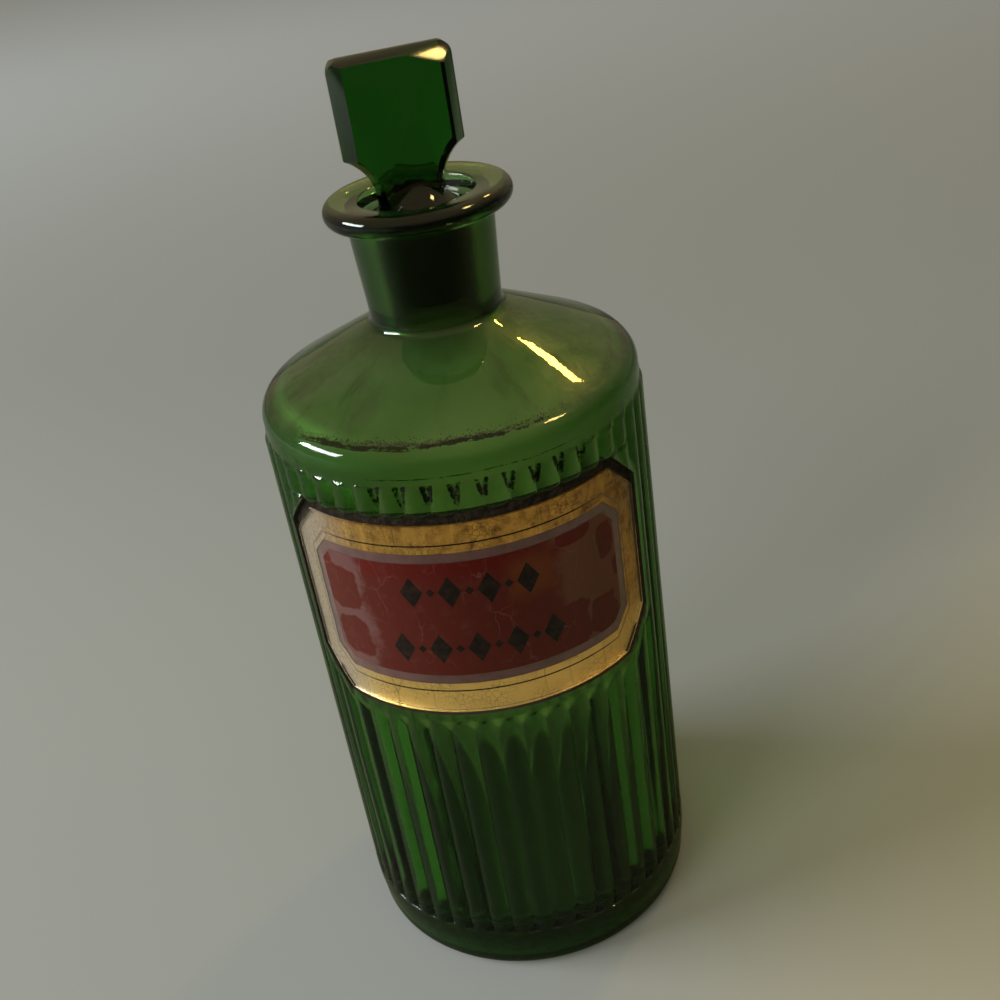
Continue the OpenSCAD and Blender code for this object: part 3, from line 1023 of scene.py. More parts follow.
@dataclass(frozen=True)
class GlassFinish:
    """Clear or coloured glass that lamps shine through.

    Args:
        name: Name of the material.
        left: Colour that the glass lets through best.
        density: How much it takes off the other colours, in each metre.
        smears: Roughness that smears add.
        clean: Roughness between the smears.
        swell: Height of the slow unevenness, in metres.
        ground_top: Height below which the glass inside ground_r is ground, or 0.
        ground_r: Radius inside which it may be ground.
        ground_low: Height above which it may be ground.
        ground_rough: Roughness of ground glass.
        residue: Roughness of the dried film on the inner skin.
        dust: Strength of the dull sheen of dust on what faces up.
        shade: Colour of the light that each of its surfaces lets through to its shadow.
        stain: Tint of the dried film on the inner skin.
        painted_light_tint: Lighter tint of the film behind the label and above it, which is painted light
            coming in through the shoulder.
        neck_shade: Dark tint of the film inside the neck, which is painted shade; it also darkens the marked
            bevels of the stopper's head.
        neck_film: Tint of the film outside on the neck.
        lip_top_tint: Brown tint on what faces up on top of the lip.
        dirt: Tint of caked dirt, also of the dark ovals at the lower ends of the grooves and of the painted
            shade round the foot.
        smudge: Tint of the smudges that run down the shoulder.
        zones: Where the films and stains begin and end.
    """

    name: str
    left: Colour
    density: float
    smears: float = 0.04
    clean: float = 0.006
    swell: float = 0.00012
    ground_top: float = 0.0
    ground_low: float = 0.0
    ground_r: float = 0.0
    ground_rough: float = 0.3
    residue: float = 0.0
    dust: float = 0.0
    shade: Colour = (0.75, 0.75, 0.75)
    stain: Colour = (1.0, 1.0, 1.0)
    painted_light_tint: Colour = (0.95, 0.74, 0.8)
    neck_shade: Colour = (0.15, 0.13, 0.09)
    neck_film: Colour = (0.58, 0.47, 0.56)
    lip_top_tint: Colour = (0.5, 0.28, 0.12)
    dirt: Colour = (0.003, 0.002, 0.0006)
    smudge: Colour = (0.28, 0.265, 0.16)
    zones: Zones = Zones()

    def inner_roughness(self, graph: Graph, z: Wire) -> Wire:
        """Roughness of the film inside: more where the bottle was shaken and where it settled."""
        splashed = graph.within(z, self.zones.splash_in, self.zones.splash_out) * 3.6 + 1.0
        return (graph.rise(z, *self.zones.settled) * 3.0 + splashed) * self.residue

    def inner_tint(self, graph: Graph, place: Wire, y: Wire, z: Wire) -> Wire:
        """Tint of the film inside: stained low down, lighter behind the label and above it as painted light,
        dark in the neck as painted shade.
        """
        cloud = graph.rise(graph.noise(place, 45.0, 4.0, 0.6), 0.3, 0.7)
        tint = graph.blend(cloud, self.stain, tuple(c**0.75 for c in self.stain))
        # Painted light: the film is lighter behind the label and above it, for light that comes in through
        # the shoulder.
        painted_light = graph.rise(y * 0.5 + z, *self.zones.painted_light_start) * graph.rise(z, *self.zones.painted_light_end)
        tint = graph.blend(painted_light, tint, self.painted_light_tint)
        # Painted shade: the film is dark inside the neck.
        return graph.blend(graph.rise(z, *self.zones.neck_shade), tint, self.neck_shade)

    def soil(self, graph: Graph, dirt: Wire, place: Wire, outside: Wire, tint: Wire) -> tuple[Wire, Wire]:
        """Smudges, films, a brown tint on the lip, dirt, dark ovals at the lower ends of the grooves, painted
        shade round the foot, and dust on the outer skin.

        Args:
            graph: Tree of the material.
            dirt: Mask of the caked dirt.
            place: Place on the bottle.
            outside: 1 on the outer skin.
            tint: Tint of the glass without them.

        Returns:
            The tint with them, and the mask of the dust.
        """
        at = self.zones
        x, y, z = graph.split(place)
        radius = graph.vector("LENGTH", graph.joined(x, y))
        turn = graph.turn(x, y)
        level = graph.split(graph.out("ShaderNodeNewGeometry", output="Normal"))[2]
        dirt = dirt * outside
        radial = graph.joined(turn * 4.5, radius * 55.0)
        smudge = graph.rise(graph.noise(radial, 1.0, 4.0, 0.6), 0.47, 0.66)
        sides = graph.rise(abs(turn + 0.05), 0.25, 0.75) * 0.65 + 0.3
        smudge = smudge * graph.within(z, at.smudge_in, at.smudge_out) * sides
        smudge = smudge * graph.rise(abs(turn), 3.0, 2.5) * outside
        tint = graph.blend(smudge, tint, self.smudge)
        necked = graph.within(z, at.neck_in, at.neck_out) * outside
        tint = graph.blend(necked, tint, self.neck_film)
        tint = graph.blend(graph.rise(level, 0.2, 0.7) * graph.rise(z, *at.lip_top), tint, self.lip_top_tint)
        # Painted shade: the glass darkens towards the foot, for its rounded edge and the floor it stands on.
        foot_shade = graph.rise(z, *at.foot) * 0.97
        tint = graph.blend(graph.most(dirt, foot_shade), tint, self.dirt)
        patches = graph.rise(graph.noise(place, 90.0, 4.0, 0.6), 0.3, 0.65)
        flat_dust = graph.rise(level, 0.6, 0.95) * outside * patches
        mouth = graph.rise(radius, *at.mouth_r) * graph.rise(z, *at.mouth) * 0.12
        grain = graph.rise(graph.noise(place, 1300.0, 2.0), 0.38, 0.62)
        return tint, graph.most(flat_dust, mouth) * (grain * 0.6 + 0.6) * (1.0 - dirt)

    def ground(self, graph: Graph, place: Wire) -> Wire:
        """Roughness of the ground joint."""
        x, y, z = graph.split(place)
        radius = graph.vector("LENGTH", graph.joined(x, y))
        near = graph.rise(radius, self.ground_r + 0.2 * MM, self.ground_r)
        below = graph.rise(z, self.ground_top + 0.2 * MM, self.ground_top)
        above = graph.rise(z, self.ground_low - 0.4 * MM, self.ground_low)
        return near * below * above * self.ground_rough

    def make(self, effects: Effects) -> bpy.types.Material:
        """Builds the material."""
        material, graph, out = start_material(self.name)
        values = {"Smears": self.smears, "Clean": self.clean}
        film = graph.add("ShaderNodeGroup", values, node_tree=effects.film)
        rough = Wire(graph, film.outputs["Roughness"])
        place = graph.place()
        tint = (1.0, 1.0, 1.0)
        if self.residue:
            inside = graph.out("ShaderNodeAttribute", output="Fac", attribute_name=INSIDE)
            _, y, z = graph.split(place)
            rough = inside * self.inner_roughness(graph, z) + rough
            tint = graph.blend(inside, tint, self.inner_tint(graph, place, y, z))
        if self.dust:
            tint, dusty = self.soil(graph, graph.group(effects.dirt), place, 1.0 - inside, tint)
        if self.ground_top:
            rough = rough + self.ground(graph, place)
        normal = graph.bump(self.swell, Wire(graph, film.outputs["Height"]))
        values = {"Base Color": tint, "Roughness": rough, "IOR": 1.5, "Normal": normal}
        shader = graph.add("ShaderNodeBsdfPrincipled", values)
        shader.inputs["Transmission Weight"].default_value = 1.0
        if self.dust:
            graph.feed(shader.inputs["Coat Weight"], dusty * self.dust)
            shader.inputs["Coat Roughness"].default_value = 0.34
        clear = graph.out("ShaderNodeBsdfTransparent", {0: self.shade})
        values = {0: graph.ray("Shadow"), 1: Wire(graph, shader.outputs[0]), 2: clear}
        graph.feed(out.inputs["Surface"], graph.out("ShaderNodeMixShader", values))
        if self.density:
            values = {"Color": self.left, "Density": self.density}
            graph.feed(out.inputs["Volume"], graph.out("ShaderNodeVolumeAbsorption", values))
        return material


@dataclass(frozen=True)
class GoldLeafFinish:
    """Worn gold leaf seen through glass: bright in the middle with a painted highlight along the bottom,
    paler and less metallic at one side as worn leaf with a painted reflection, crazed and stained.

    The last five pairs are millimetres across or up, where a change starts and where it is full.
    """

    name: str = "worn_gold_leaf"
    bright: Colour = (0.87, 0.5, 0.105)
    painted_highlight: Colour = (1.0, 0.7, 0.22)
    stained: Colour = (0.24, 0.115, 0.025)
    faded_with_reflection: Colour = (0.42, 0.36, 0.3)
    crack: Colour = (0.07, 0.04, 0.02)
    shine: float = 0.1
    stained_side: Point = (12.0, 44.0)
    stained_top: Point = (105.0, 124.0)
    highlight_low: Point = (98.0, 88.0)
    faded_reflection_side: Point = (-20.0, -38.0)
    crazed_side: Point = (-12.0, -36.0)

    def make(self, effects: Effects) -> bpy.types.Material:
        """Builds the material."""
        material, graph, out = start_material(self.name)
        place = graph.group(effects.label_place)
        across, up, _ = graph.split(place)
        mottle = graph.rise(graph.noise(place, 0.35, 6.0, 0.7), 0.42, 0.72)
        streaks = graph.noise(graph.vector("MULTIPLY", place, (1.0, 0.12, 1.0)), 0.5, 4.0, 0.6)
        top = graph.rise(up, *self.stained_top) * graph.rise(streaks, 0.2, 0.6)
        stain = graph.rise(across, *self.stained_side) * 0.3 + mottle * 0.55
        stain = graph.maths("MULTIPLY_ADD", top, 0.4, stain, clamp=True)
        gold = graph.blend(stain, self.bright, self.stained)
        # Painted highlight: the gold is lighter along the bottom of the label.
        gold = graph.blend(graph.rise(up, *self.highlight_low) * 0.8, gold, self.painted_highlight)
        # Paler, less metallic gold towards the left: worn leaf, and a painted reflection there.
        fade_and_reflection = graph.rise(across, *self.faded_reflection_side) * 0.85
        grain = graph.noise(place, 1.6, 4.0, 0.7)
        fade_and_reflection = graph.maths("MULTIPLY_ADD", grain - 0.5, 0.35, fade_and_reflection, clamp=True)
        aged = graph.blend(fade_and_reflection, gold, self.faded_with_reflection)
        cover = graph.rise(across, *self.crazed_side) * 0.35 + 0.45
        fine = graph.group(effects.cracks, {"Place": place, "Scale": 0.75, "Width": 0.035, "Cover": cover})
        upright = graph.vector("MULTIPLY", place, (1.0, 0.22, 1.0))
        wide = graph.group(effects.cracks, {"Place": upright, "Scale": 0.12, "Width": 0.02, "Cover": 0.42})
        lines = graph.most(fine, wide)
        colour = graph.blend(lines * 0.8, aged, self.crack)
        normal = graph.bump(0.00006, graph.noise(place, 1.1, 4.0, 0.6) - lines)
        metal = graph.maths("MULTIPLY_ADD", fade_and_reflection, -0.7, 0.95, clamp=True)
        graph.surface(out, self.shine, colour, mottle * 0.2 + 0.34, Metallic=metal, Normal=normal)
        return material


@dataclass(frozen=True)
class LineFinish:
    """Thin black enamel that has worn away towards the sides of the label."""

    name: str = "worn_black_line"
    black: Colour = (0.02, 0.012, 0.008)
    worn: Colour = (0.26, 0.19, 0.12)

    def make(self, effects: Effects) -> bpy.types.Material:
        """Builds the material."""
        material, graph, out = start_material(self.name)
        place = graph.group(effects.label_place)
        wear = graph.rise(abs(graph.split(place)[0]) + graph.noise(place, 0.4, 3.0) * 16.0, 32.0, 42.0)
        graph.surface(out, 0.0, graph.blend(wear, self.black, self.worn), 0.5)
        return material


@dataclass(frozen=True)
class Patch:
    """An oval patch on the label, in millimetres across and up."""

    across: float
    up: float
    half_w: float
    half_h: float

    def values(self, place: Wire, soft: float = 0.08) -> dict:
        """Inputs of the group that draws it."""
        middle, size = (self.across, self.up, 0.0), (self.half_w, self.half_h, 1.0)
        return {"Place": place, "Middle": middle, "Size": size, "Soft": soft}


@dataclass(frozen=True)
class RedPaintFinish:
    """Red ground that has come away from the glass at both sides and turned hazy there.

    The last four pairs are millimetres across or up, where a change starts and where it is full.
    """

    name: str = "flaking_red_ground"
    red: Colour = (0.108, 0.0135, 0.0085)
    deep: Colour = (0.12, 0.006, 0.004)
    haze: Colour = (0.17, 0.075, 0.07)
    brown_haze: Colour = (0.17, 0.065, 0.036)
    orange: Colour = (0.17, 0.045, 0.008)
    scratch: Colour = (0.3, 0.17, 0.14)
    shine: float = 0.05
    firm: tuple[Patch, ...] = (
        Patch(-31.2, 111.5, 5.6, 5.7),
        Patch(-29.9, 99.0, 4.9, 5.1),
        Patch(-35.3, 118.8, 2.7, 2.1),
        Patch(32.4, 114.2, 2.5, 4.3),
        Patch(35.2, 106.0, 1.3, 2.4),
        Patch(30.2, 96.6, 4.2, 4.6),
        Patch(21.5, 97.5, 4.6, 6.4),
        Patch(24.0, 119.6, 4.4, 2.2),
    )
    burnt: Patch = Patch(13.5, 114.0, 6.5, 6.5)
    loose_left: Point = (-22.5, -26.5)
    loose_right: Point = (17.0, 22.5)
    deep_top: Point = (114.0, 119.0)
    brown_side: Point = (-5.0, 15.0)

    def make(self, effects: Effects) -> bpy.types.Material:
        """Builds the material."""
        material, graph, out = start_material(self.name)
        place = graph.group(effects.label_place)
        across, up, _ = graph.split(place)
        wander = (graph.noise(place, 0.16, 4.0, 0.6) - 0.5) * 12.0 + across
        firm = 0.0
        for patch in self.firm:
            firm = graph.most(firm, graph.group(effects.island, patch.values(place)))
        sides = graph.most(graph.rise(wander, *self.loose_left), graph.rise(wander, *self.loose_right))
        loose = sides * (1.0 - firm)
        veil = graph.rise(graph.noise(place, 0.3, 5.0, 0.65), 0.5, 0.8)
        loose = graph.most(loose, veil * 0.35, clamp=True)
        body = graph.blend(graph.rise(up, *self.deep_top) * 0.8, self.red, self.deep)
        stain = graph.group(effects.island, self.burnt.values(place, 0.5))
        body = graph.blend(stain * 0.75, body, self.orange)
        hazy = graph.blend(graph.rise(across, *self.brown_side), self.haze, self.brown_haze)
        colour = graph.blend(loose * 0.88, body, hazy)
        upright = graph.vector("MULTIPLY", place, (1.0, 0.5, 1.0))
        scratch = graph.group(effects.cracks, {"Place": upright, "Scale": 0.22, "Width": 0.02, "Cover": 0.4})
        colour = graph.blend(scratch * 0.35, colour, self.scratch)
        graph.surface(out, self.shine, colour, loose * 0.3 + 0.45, Normal=graph.bump(0.00005, loose))
        return material


@dataclass(frozen=True)
class CoatFinish:
    """A dull or glossy coat whose colour is mottled, such as paint, enamel, pitch or dust.

    Args:
        name: Name of the material.
        first: Main colour.
        second: Colour of the mottling.
        scale: Mottles in a millimetre.
        rough: Roughness.
        lumps: Height of its unevenness, in metres.
        shine: Strength of its gloss.
    """

    name: str
    first: Colour
    second: Colour
    scale: float = 0.5
    rough: float = 0.6
    lumps: float = 0.0001
    shine: float = 0.3

    def make(self, effects: Effects) -> bpy.types.Material:
        """Builds the material."""
        material, graph, out = start_material(self.name)
        place = graph.scaled(graph.place(), 1.0 / MM)
        mottle = graph.noise(place, self.scale, 6.0, 0.65)
        colour = graph.blend(graph.rise(mottle, 0.38, 0.66), self.first, self.second)
        normal = graph.bump(self.lumps, graph.noise(place, self.scale * 2.5, 4.0))
        graph.surface(out, self.shine, colour, mottle * 0.25 + (self.rough - 0.12), Normal=normal)
        return material


def bend(graph: Graph, geometry: Wire, radius: Wire) -> Wire:
    """Turns places across, in and up into places round the bottle.

    Args:
        graph: Tree that it is added to.
        geometry: Flat geometry, with its front at depth 0.
        radius: Radius of that front.

    Returns:
        The bent geometry.
    """
    across, depth, up = graph.split(graph.out("GeometryNodeInputPosition"))
    turn = across / radius
    reach = radius - depth
    place = graph.joined(reach * graph.maths("SINE", turn), reach * graph.maths("COSINE", turn) * -1.0, up)
    return graph.out("GeometryNodeSetPosition", {"Geometry": geometry, "Position": place})


def wrap_tree() -> bpy.types.NodeTree:
    """Geometry nodes that bend a flat layer of the label round the bottle."""
    ins = {"Geometry": "Geometry", "Radius": 41.3 * MM, "Finish": "Material"}
    graph, given, out = new_group("wrap_round_bottle", GEOMETRY, ins, {"Geometry": "Geometry"})
    graph.dressed(out, bend(graph, given["Geometry"], given["Radius"]), given["Finish"])
    return graph.tree


def run_tree(
    name: str, mesh: bpy.types.Mesh, tree: bpy.types.NodeTree, values: dict, edge: Edge
) -> bpy.types.Object:
    """Runs geometry nodes on a mesh and keeps the result as a plain mesh.

    Args:
        name: Name of the piece.
        mesh: Mesh that goes in.
        tree: The geometry nodes.
        values: Value of each named input.
        edge: Which edges of the result stay sharp.

    Returns:
        An object with the plain mesh and no modifier.
    """
    piece = add_object(name, mesh)
    modifier = piece.modifiers.new("nodes", "NODES")
    modifier.node_group = tree
    for socket in tree.interface.items_tree:
        if socket.in_out == "INPUT" and socket.name in values:
            modifier[socket.identifier] = values[socket.name]
    keep_result(piece, modifier, edge).name = name
    return piece


def flat_layer(name: str, edge: Octagon, hole: Octagon | None, front: float, back: float) -> bpy.types.Mesh:
    """Flat plate with cut corners in the label plane, with or without a hole of like shape.

    Args:
        name: Name of the mesh.
        edge: Its outline.
        hole: Outline of the hole, or None.
        front: Depth of its front below the face of the label.
        back: Depth of its back.

    Returns:
        The closed mesh, X across, Y inwards and Z up.
    """
    stations = {round(x, 7) for x in np.linspace(-edge.half_w, edge.half_w, 61)}
    for outline in filter(None, (edge, hole)):
        for x in (outline.half_w, outline.half_w - outline.leg):
            stations |= {round(x, 7), round(-x, 7)}
    across = sorted(stations)
    numbers: dict[Point, int] = {}
    flat: list[Point] = []

    def number(x: float, z: float) -> int:
        """Number of a point, which is made where it is new."""
        key = (round(x, 7), round(z, 7))
        if key not in numbers:
            numbers[key] = len(flat)
            flat.append(key)
        return numbers[key]

    def levels(x: float) -> list[float]:
        """Heights that part the layer at a place across."""
        low, high = edge.span(x)
        if hole is None:
            return [low, high]
        inner_low, inner_high = hole.span(max(-hole.half_w, min(hole.half_w, x)))
        return [low, min(max(inner_low, low), high), max(min(inner_high, high), low), high]

    cells = []
    rim: dict[tuple, None] = {}
    for x0, x1 in zip(across, across[1:]):
        first, second = levels(x0), levels(x1)
        for i in range(len(first) - 1):
            if hole is not None and i == 1 and abs((x0 + x1) / 2) < hole.half_w:
                continue
            places = ((x0, first[i]), (x1, second[i]), (x1, second[i + 1]), (x0, first[i + 1]))
            corners = [number(*place) for place in places]
            cell = tuple(c for k, c in enumerate(corners) if c != corners[k - 1])
            if len(cell) > 2:
                cells.append(cell)
                toggle(rim, cell)
    count = len(flat)
    points = [(x, front, z) for x, z in flat] + [(x, back, z) for x, z in flat]
    faces = cells + [tuple(c + count for c in reversed(cell)) for cell in cells]
    faces += [(b, a, a + count, b + count) for a, b in rim]
    return build_mesh(name, points, faces, Edge.HARD)


@dataclass
class Label:
    """The label under glass: plate, enamel line and figures, gold leaf, red ground, backing and pitch."""

    sizes: LabelSizes
    body_r: float
    sunk: float = 0.1 * MM
    enamel: float = 0.03 * MM
    leaf: float = 0.09 * MM
    trim: float = 0.05 * MM
    lozenge_h: float = 7.6 * MM
    lozenge_w: float = 5.0 * MM
    pip: float = 2.0 * MM
    pitch: float = 8.4 * MM
    row_pitch: float = 14.4 * MM
    rows: tuple[int, int] = (4, 5)

    def build(self, effects: Effects) -> None:
        """Builds and dresses every layer."""
        sizes = self.sizes
        wrap = wrap_tree()
        edge = sizes.outline()
        line_out = sizes.line_inset + sizes.line
        plate = GlassFinish("clear_plate", (1.0, 1.0, 1.0), 0.0, smears=0.05, clean=0.008, swell=0.00004)
        trimmed = edge.inset(self.trim, self.trim)
        gold_hole = edge.inset(sizes.gold_side, sizes.gold_end)
        red_edge = edge.inset(sizes.gold_side + sizes.bare, sizes.gold_end + sizes.bare)
        line_edge, line_hole = edge.inset(sizes.line_inset, sizes.line_inset), edge.inset(line_out, line_out)
        enamel = (sizes.plate - self.sunk, self.enamel)
        leaf = (sizes.plate - self.sunk / 2, self.leaf)
        layers = (
            ("label_plate", edge, None, (0.0, sizes.plate), plate, "plate_glass", "label_glass"),
            ("gold_border", trimmed, gold_hole, leaf, GoldLeafFinish(), "gold_leaf", "label_gilding"),
            ("red_field", red_edge, None, leaf, RedPaintFinish(), "red_ground", "label_red_ground"),
            ("border_line", line_edge, line_hole, enamel, LineFinish(), "black_line", "label_pinstripe"),
        )
        for name, outline, hole, (front, thick), finish, slot, node in layers:
            flat = flat_layer(name, outline, hole, front, front + thick)
            values = {"Radius": self.body_r, "Finish": finish.make(effects)}
            piece = run_tree(name, flat, wrap, values, Edge.CRISP)
            place_piece(piece, Body.BOTTLE, slot, [node])
        self.add_lozenges(enamel[0], effects)
        self.dress_solids(effects)

    def lozenge_group(self) -> bpy.types.NodeTree:
        """Geometry nodes for one row of like lozenges."""
        ins = {
            "Count": 4, "Spacing": self.pitch, "Width": self.lozenge_w, "Height": self.lozenge_h,
            "Up": 0.0, "Thickness": self.enamel, "Depth": 0.0,
        }
        graph, given, out = new_group("lozenge_row", GEOMETRY, ins, {"Geometry": "Geometry"})
        values = {"Vertices": 4, "Radius": 0.5, "Depth": given["Thickness"]}
        shape = graph.out("GeometryNodeMeshCylinder", values)
        size = graph.joined(given["Width"], given["Height"], 1.0)
        shape = graph.out("GeometryNodeTransform", {"Geometry": shape, "Scale": size})
        shape = graph.out("GeometryNodeTransform", {"Geometry": shape, "Rotation": (math.pi / 2, 0.0, 0.0)})
        shape = graph.out("GeometryNodeSubdivideMesh", {"Mesh": shape, "Level": 3})
        first = (given["Count"] - 1.0) * given["Spacing"] * -0.5
        begin = graph.joined(first, given["Thickness"] * 0.5 + given["Depth"], given["Up"])
        values = {"Count": given["Count"], "Start Location": begin, "Offset": graph.joined(given["Spacing"])}
        points = graph.out("GeometryNodeMeshLine", values)
        row = graph.out("GeometryNodeInstanceOnPoints", {"Points": points, "Instance": shape})
        graph.feed(out.inputs[0], row)
        return graph.tree

    def add_lozenges(self, depth: float, effects: Effects) -> None:
        """Builds the two rows of black figures.

        Args:
            depth: Depth of their front below the face of the label.
            effects: Shared node groups.
        """
        row = self.lozenge_group()
        ins = {
            "Geometry": "Geometry", "Radius": self.body_r, "Row spacing": self.row_pitch,
            "Middle height": self.sizes.middle_z, "Depth": depth, "Finish": "Material",
        }
        graph, given, out = new_group("lozenge_rows", GEOMETRY, ins, {"Geometry": "Geometry"})
        joined = graph.add("GeometryNodeJoinGeometry")
        for index, count in enumerate(self.rows):
            up = given["Row spacing"] * (0.5 - index) + given["Middle height"]
            figures = (count, self.lozenge_w, self.lozenge_h)
            pips = (count - 1, self.pip, self.pip)
            for number, width, height in (figures, pips):
                values = {"Count": number, "Width": width, "Height": height}
                values |= {"Up": up, "Depth": given["Depth"]}
                graph.feed(joined.inputs[0], graph.out("GeometryNodeGroup", values, node_tree=row))
        solid = graph.out("GeometryNodeRealizeInstances", {0: Wire(graph, joined.outputs[0])})
        graph.dressed(out, bend(graph, solid, given["Radius"]), given["Finish"])
        black = CoatFinish(
            "black_enamel", (0.012, 0.008, 0.007), (0.03, 0.016, 0.012),
            scale=0.6, rough=0.5, lumps=0.00001, shine=0.0,
        )
        values = {"Finish": black.make(effects)}
        piece = run_tree("lozenge_rows", bpy.data.meshes.new("flat"), graph.tree, values, Edge.CRISP)
        place_piece(piece, Body.BOTTLE, "black_enamel", ["label_ornament"])

    def dress_solids(self, effects: Effects) -> None:
        """Gives the pitch and the backing paint their finishes."""
        pitch = CoatFinish(
            "old_pitch", (0.012, 0.009, 0.006), (0.036, 0.028, 0.02),
            scale=0.8, rough=0.7, lumps=0.0002, shine=0.08,
        )
        backing = CoatFinish(
            "backing_paint", (0.138, 0.052, 0.044), (0.1, 0.035, 0.027), scale=0.3, rough=0.7, lumps=0.00004
        )
        for node, finish in (("label_bed", pitch), ("label_backing", backing)):
            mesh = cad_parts[node].data
            mesh.materials.clear()
            mesh.materials.append(finish.make(effects))
            log.info("%s is dressed as %s", node, finish.name)


@dataclass
class Stopper:
    """The ground stopper: its solid with the edges of the head a little rounded."""

    edge_w: float = 0.22 * MM
    plug_top: float = 180.64 * MM
    plug_low: float = 163.59 * MM
    plug_r: float = 10.45 * MM
    stem_z: float = 190.0 * MM
    head_turn: float = 14.0

    def build(self, effects: Effects) -> None:
        """Builds and dresses the stopper."""
        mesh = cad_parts["stopper"].data.copy()
        flat_normals = mesh.attributes.get("custom_normal")
        if flat_normals:
            mesh.attributes.remove(flat_normals)
        shape = bmesh.new()
        shape.from_mesh(mesh)
        bmesh.ops.remove_doubles(shape, verts=shape.verts, dist=2e-6)
        flat = math.radians(0.4)
        bmesh.ops.dissolve_limit(shape, angle_limit=flat, verts=shape.verts, edges=shape.edges)
        shape.to_mesh(mesh)
        shape.free()
        piece = add_object("stopper_glass", mesh)
        rounding = piece.modifiers.new("rounding", "BEVEL")
        rounding.width = self.edge_w
        rounding.segments = 3
        rounding.limit_method = "ANGLE"
        rounding.angle_limit = math.radians(24)
        plain = keep_result(piece, rounding, Edge.CRISP)
        self.mark_ground_edges(plain)
        # The marked bevels are ground and dull; their dark inner tint is painted shade.
        glass = GlassFinish(
            "stopper_green", (0.105, 0.555, 0.01), 540.0, smears=0.03, clean=0.005, swell=0.00003,
            ground_top=self.plug_top, ground_low=self.plug_low, ground_r=self.plug_r + 0.3 * MM,
            ground_rough=0.12, residue=0.09, shade=GREEN_SHADE, stain=(0.16, 0.13, 0.12),
        )
        plain.materials.clear()
        plain.materials.append(glass.make(effects))
        place_piece(piece, Body.STOPPER, "stopper_glass", ["stopper"])

    def mark_ground_edges(self, mesh: bpy.types.Mesh) -> None:
        """Marks the bevels of the head, which are duller than its two faces and take a dark tint that is
        painted shade.
        """
        turn = math.radians(self.head_turn)
        face = Vector((math.sin(turn), -math.cos(turn), 0.0))
        marks = mesh.attributes.new(INSIDE, "FLOAT", "FACE")
        dull = [
            float(p.center.z > self.stem_z and abs(p.normal.dot(face)) < 0.96 and p.normal.z < 0.995)
            for p in mesh.polygons
        ]
        marks.data.foreach_set("value", dull)


@dataclass
class Dust:
    """Crumbs of old dirt caught along the rim of the shoulder."""

    shell: BottleShell
    seed: int = 7
    crumb: float = 0.13 * MM
    density: float = 2.4e7
    rim_r: float = 38.4 * MM
    rim_z: float = 146.3 * MM

    def tree(self) -> bpy.types.NodeTree:
        """Geometry nodes that strew crumbs over a surface."""
        ins = {
            "Geometry": "Geometry", "Density": self.density, "Crumb": self.crumb, "Seed": self.seed,
            "Finish": "Material",
        }
        graph, given, out = new_group("strewn_crumbs", GEOMETRY, ins, {"Geometry": "Geometry"})
        share = graph.out("GeometryNodeInputNamedAttribute", {"Name": "dust"}, data_type="FLOAT")
        values = {"Mesh": given["Geometry"], "Density": share * given["Density"], "Seed": given["Seed"]}
        strewn = graph.add("GeometryNodeDistributePointsOnFaces", values)
        lump = graph.out("GeometryNodeMeshIcoSphere", {"Radius": given["Crumb"], "Subdivisions": 1})
        values = {"Min": (0.35, 0.35, 0.3), "Max": (2.1, 1.4, 0.8), "Seed": given["Seed"]}
        size = graph.out("FunctionNodeRandomValue", values, "Value", data_type="FLOAT_VECTOR")
        points, turn = (Wire(graph, strewn.outputs[name]) for name in ("Points", "Rotation"))
        values = {"Points": points, "Instance": lump, "Rotation": turn, "Scale": size}
        graph.dressed(out, graph.out("GeometryNodeInstanceOnPoints", values), given["Finish"])
        return graph.tree

    def rim(self) -> bpy.types.Mesh:
        """Surface along the rim of the shoulder that crumbs lie on, with their share, thickest in front."""
        angles = np.radians(np.linspace(-58.0, 44.0, 240))
        slope = math.radians(self.shell.shoulder_slope)
        steps = np.linspace(-0.6 * MM, 2.6 * MM, 14)
        inward, upward = math.cos(slope), math.sin(slope)
        even = 0 * angles
        skin = Skin()
        rows = [
            skin.add_ring(self.rim_r - s * inward + even, self.rim_z + s * upward + even, angles)
            for s in steps
        ]
        for low, high in zip(rows, rows[1:]):
            skin.faces.extend(zip(low, low[1:], high[1:], high))
        degrees = np.degrees(angles)
        wander = 0.35 * np.sin(degrees / 4.1) + 0.25 * np.sin(degrees / 1.7 + 1.0)
        along = np.exp(-(((degrees + 6.0) / 26.0) ** 4)) + 0.25 * np.exp(-(((degrees + 6.0) / 44.0) ** 6))
        from_middle = steps[:, None] - (0.5 * MM + wander * 0.4 * MM)
        fringe = 0.18 * np.exp(-np.abs(from_middle) / (0.9 * MM))
        share = along * (np.exp(-((from_middle / (0.45 * MM)) ** 2)) + fringe)
        mesh = bpy.data.meshes.new("rim_carrier")
        mesh.from_pydata([tuple(p) for p in skin.points], [], skin.faces)
        marks = mesh.attributes.new("dust", "FLOAT", "POINT")
        marks.data.foreach_set("value", share.ravel().astype(np.float32))
        return mesh

    def build(self, effects: Effects) -> None:
        """Strews and dresses the crumbs."""
        tree = self.tree()
        finish = CoatFinish(
            "caked_dust", (0.01, 0.008, 0.003), (0.085, 0.07, 0.028), scale=1.2, rough=0.9, lumps=0.00005
        )
        piece = run_tree("rim_dust", self.rim(), tree, {"Finish": finish.make(effects)}, Edge.SOFT)
        place_piece(piece, Body.BOTTLE, "pitch", [])


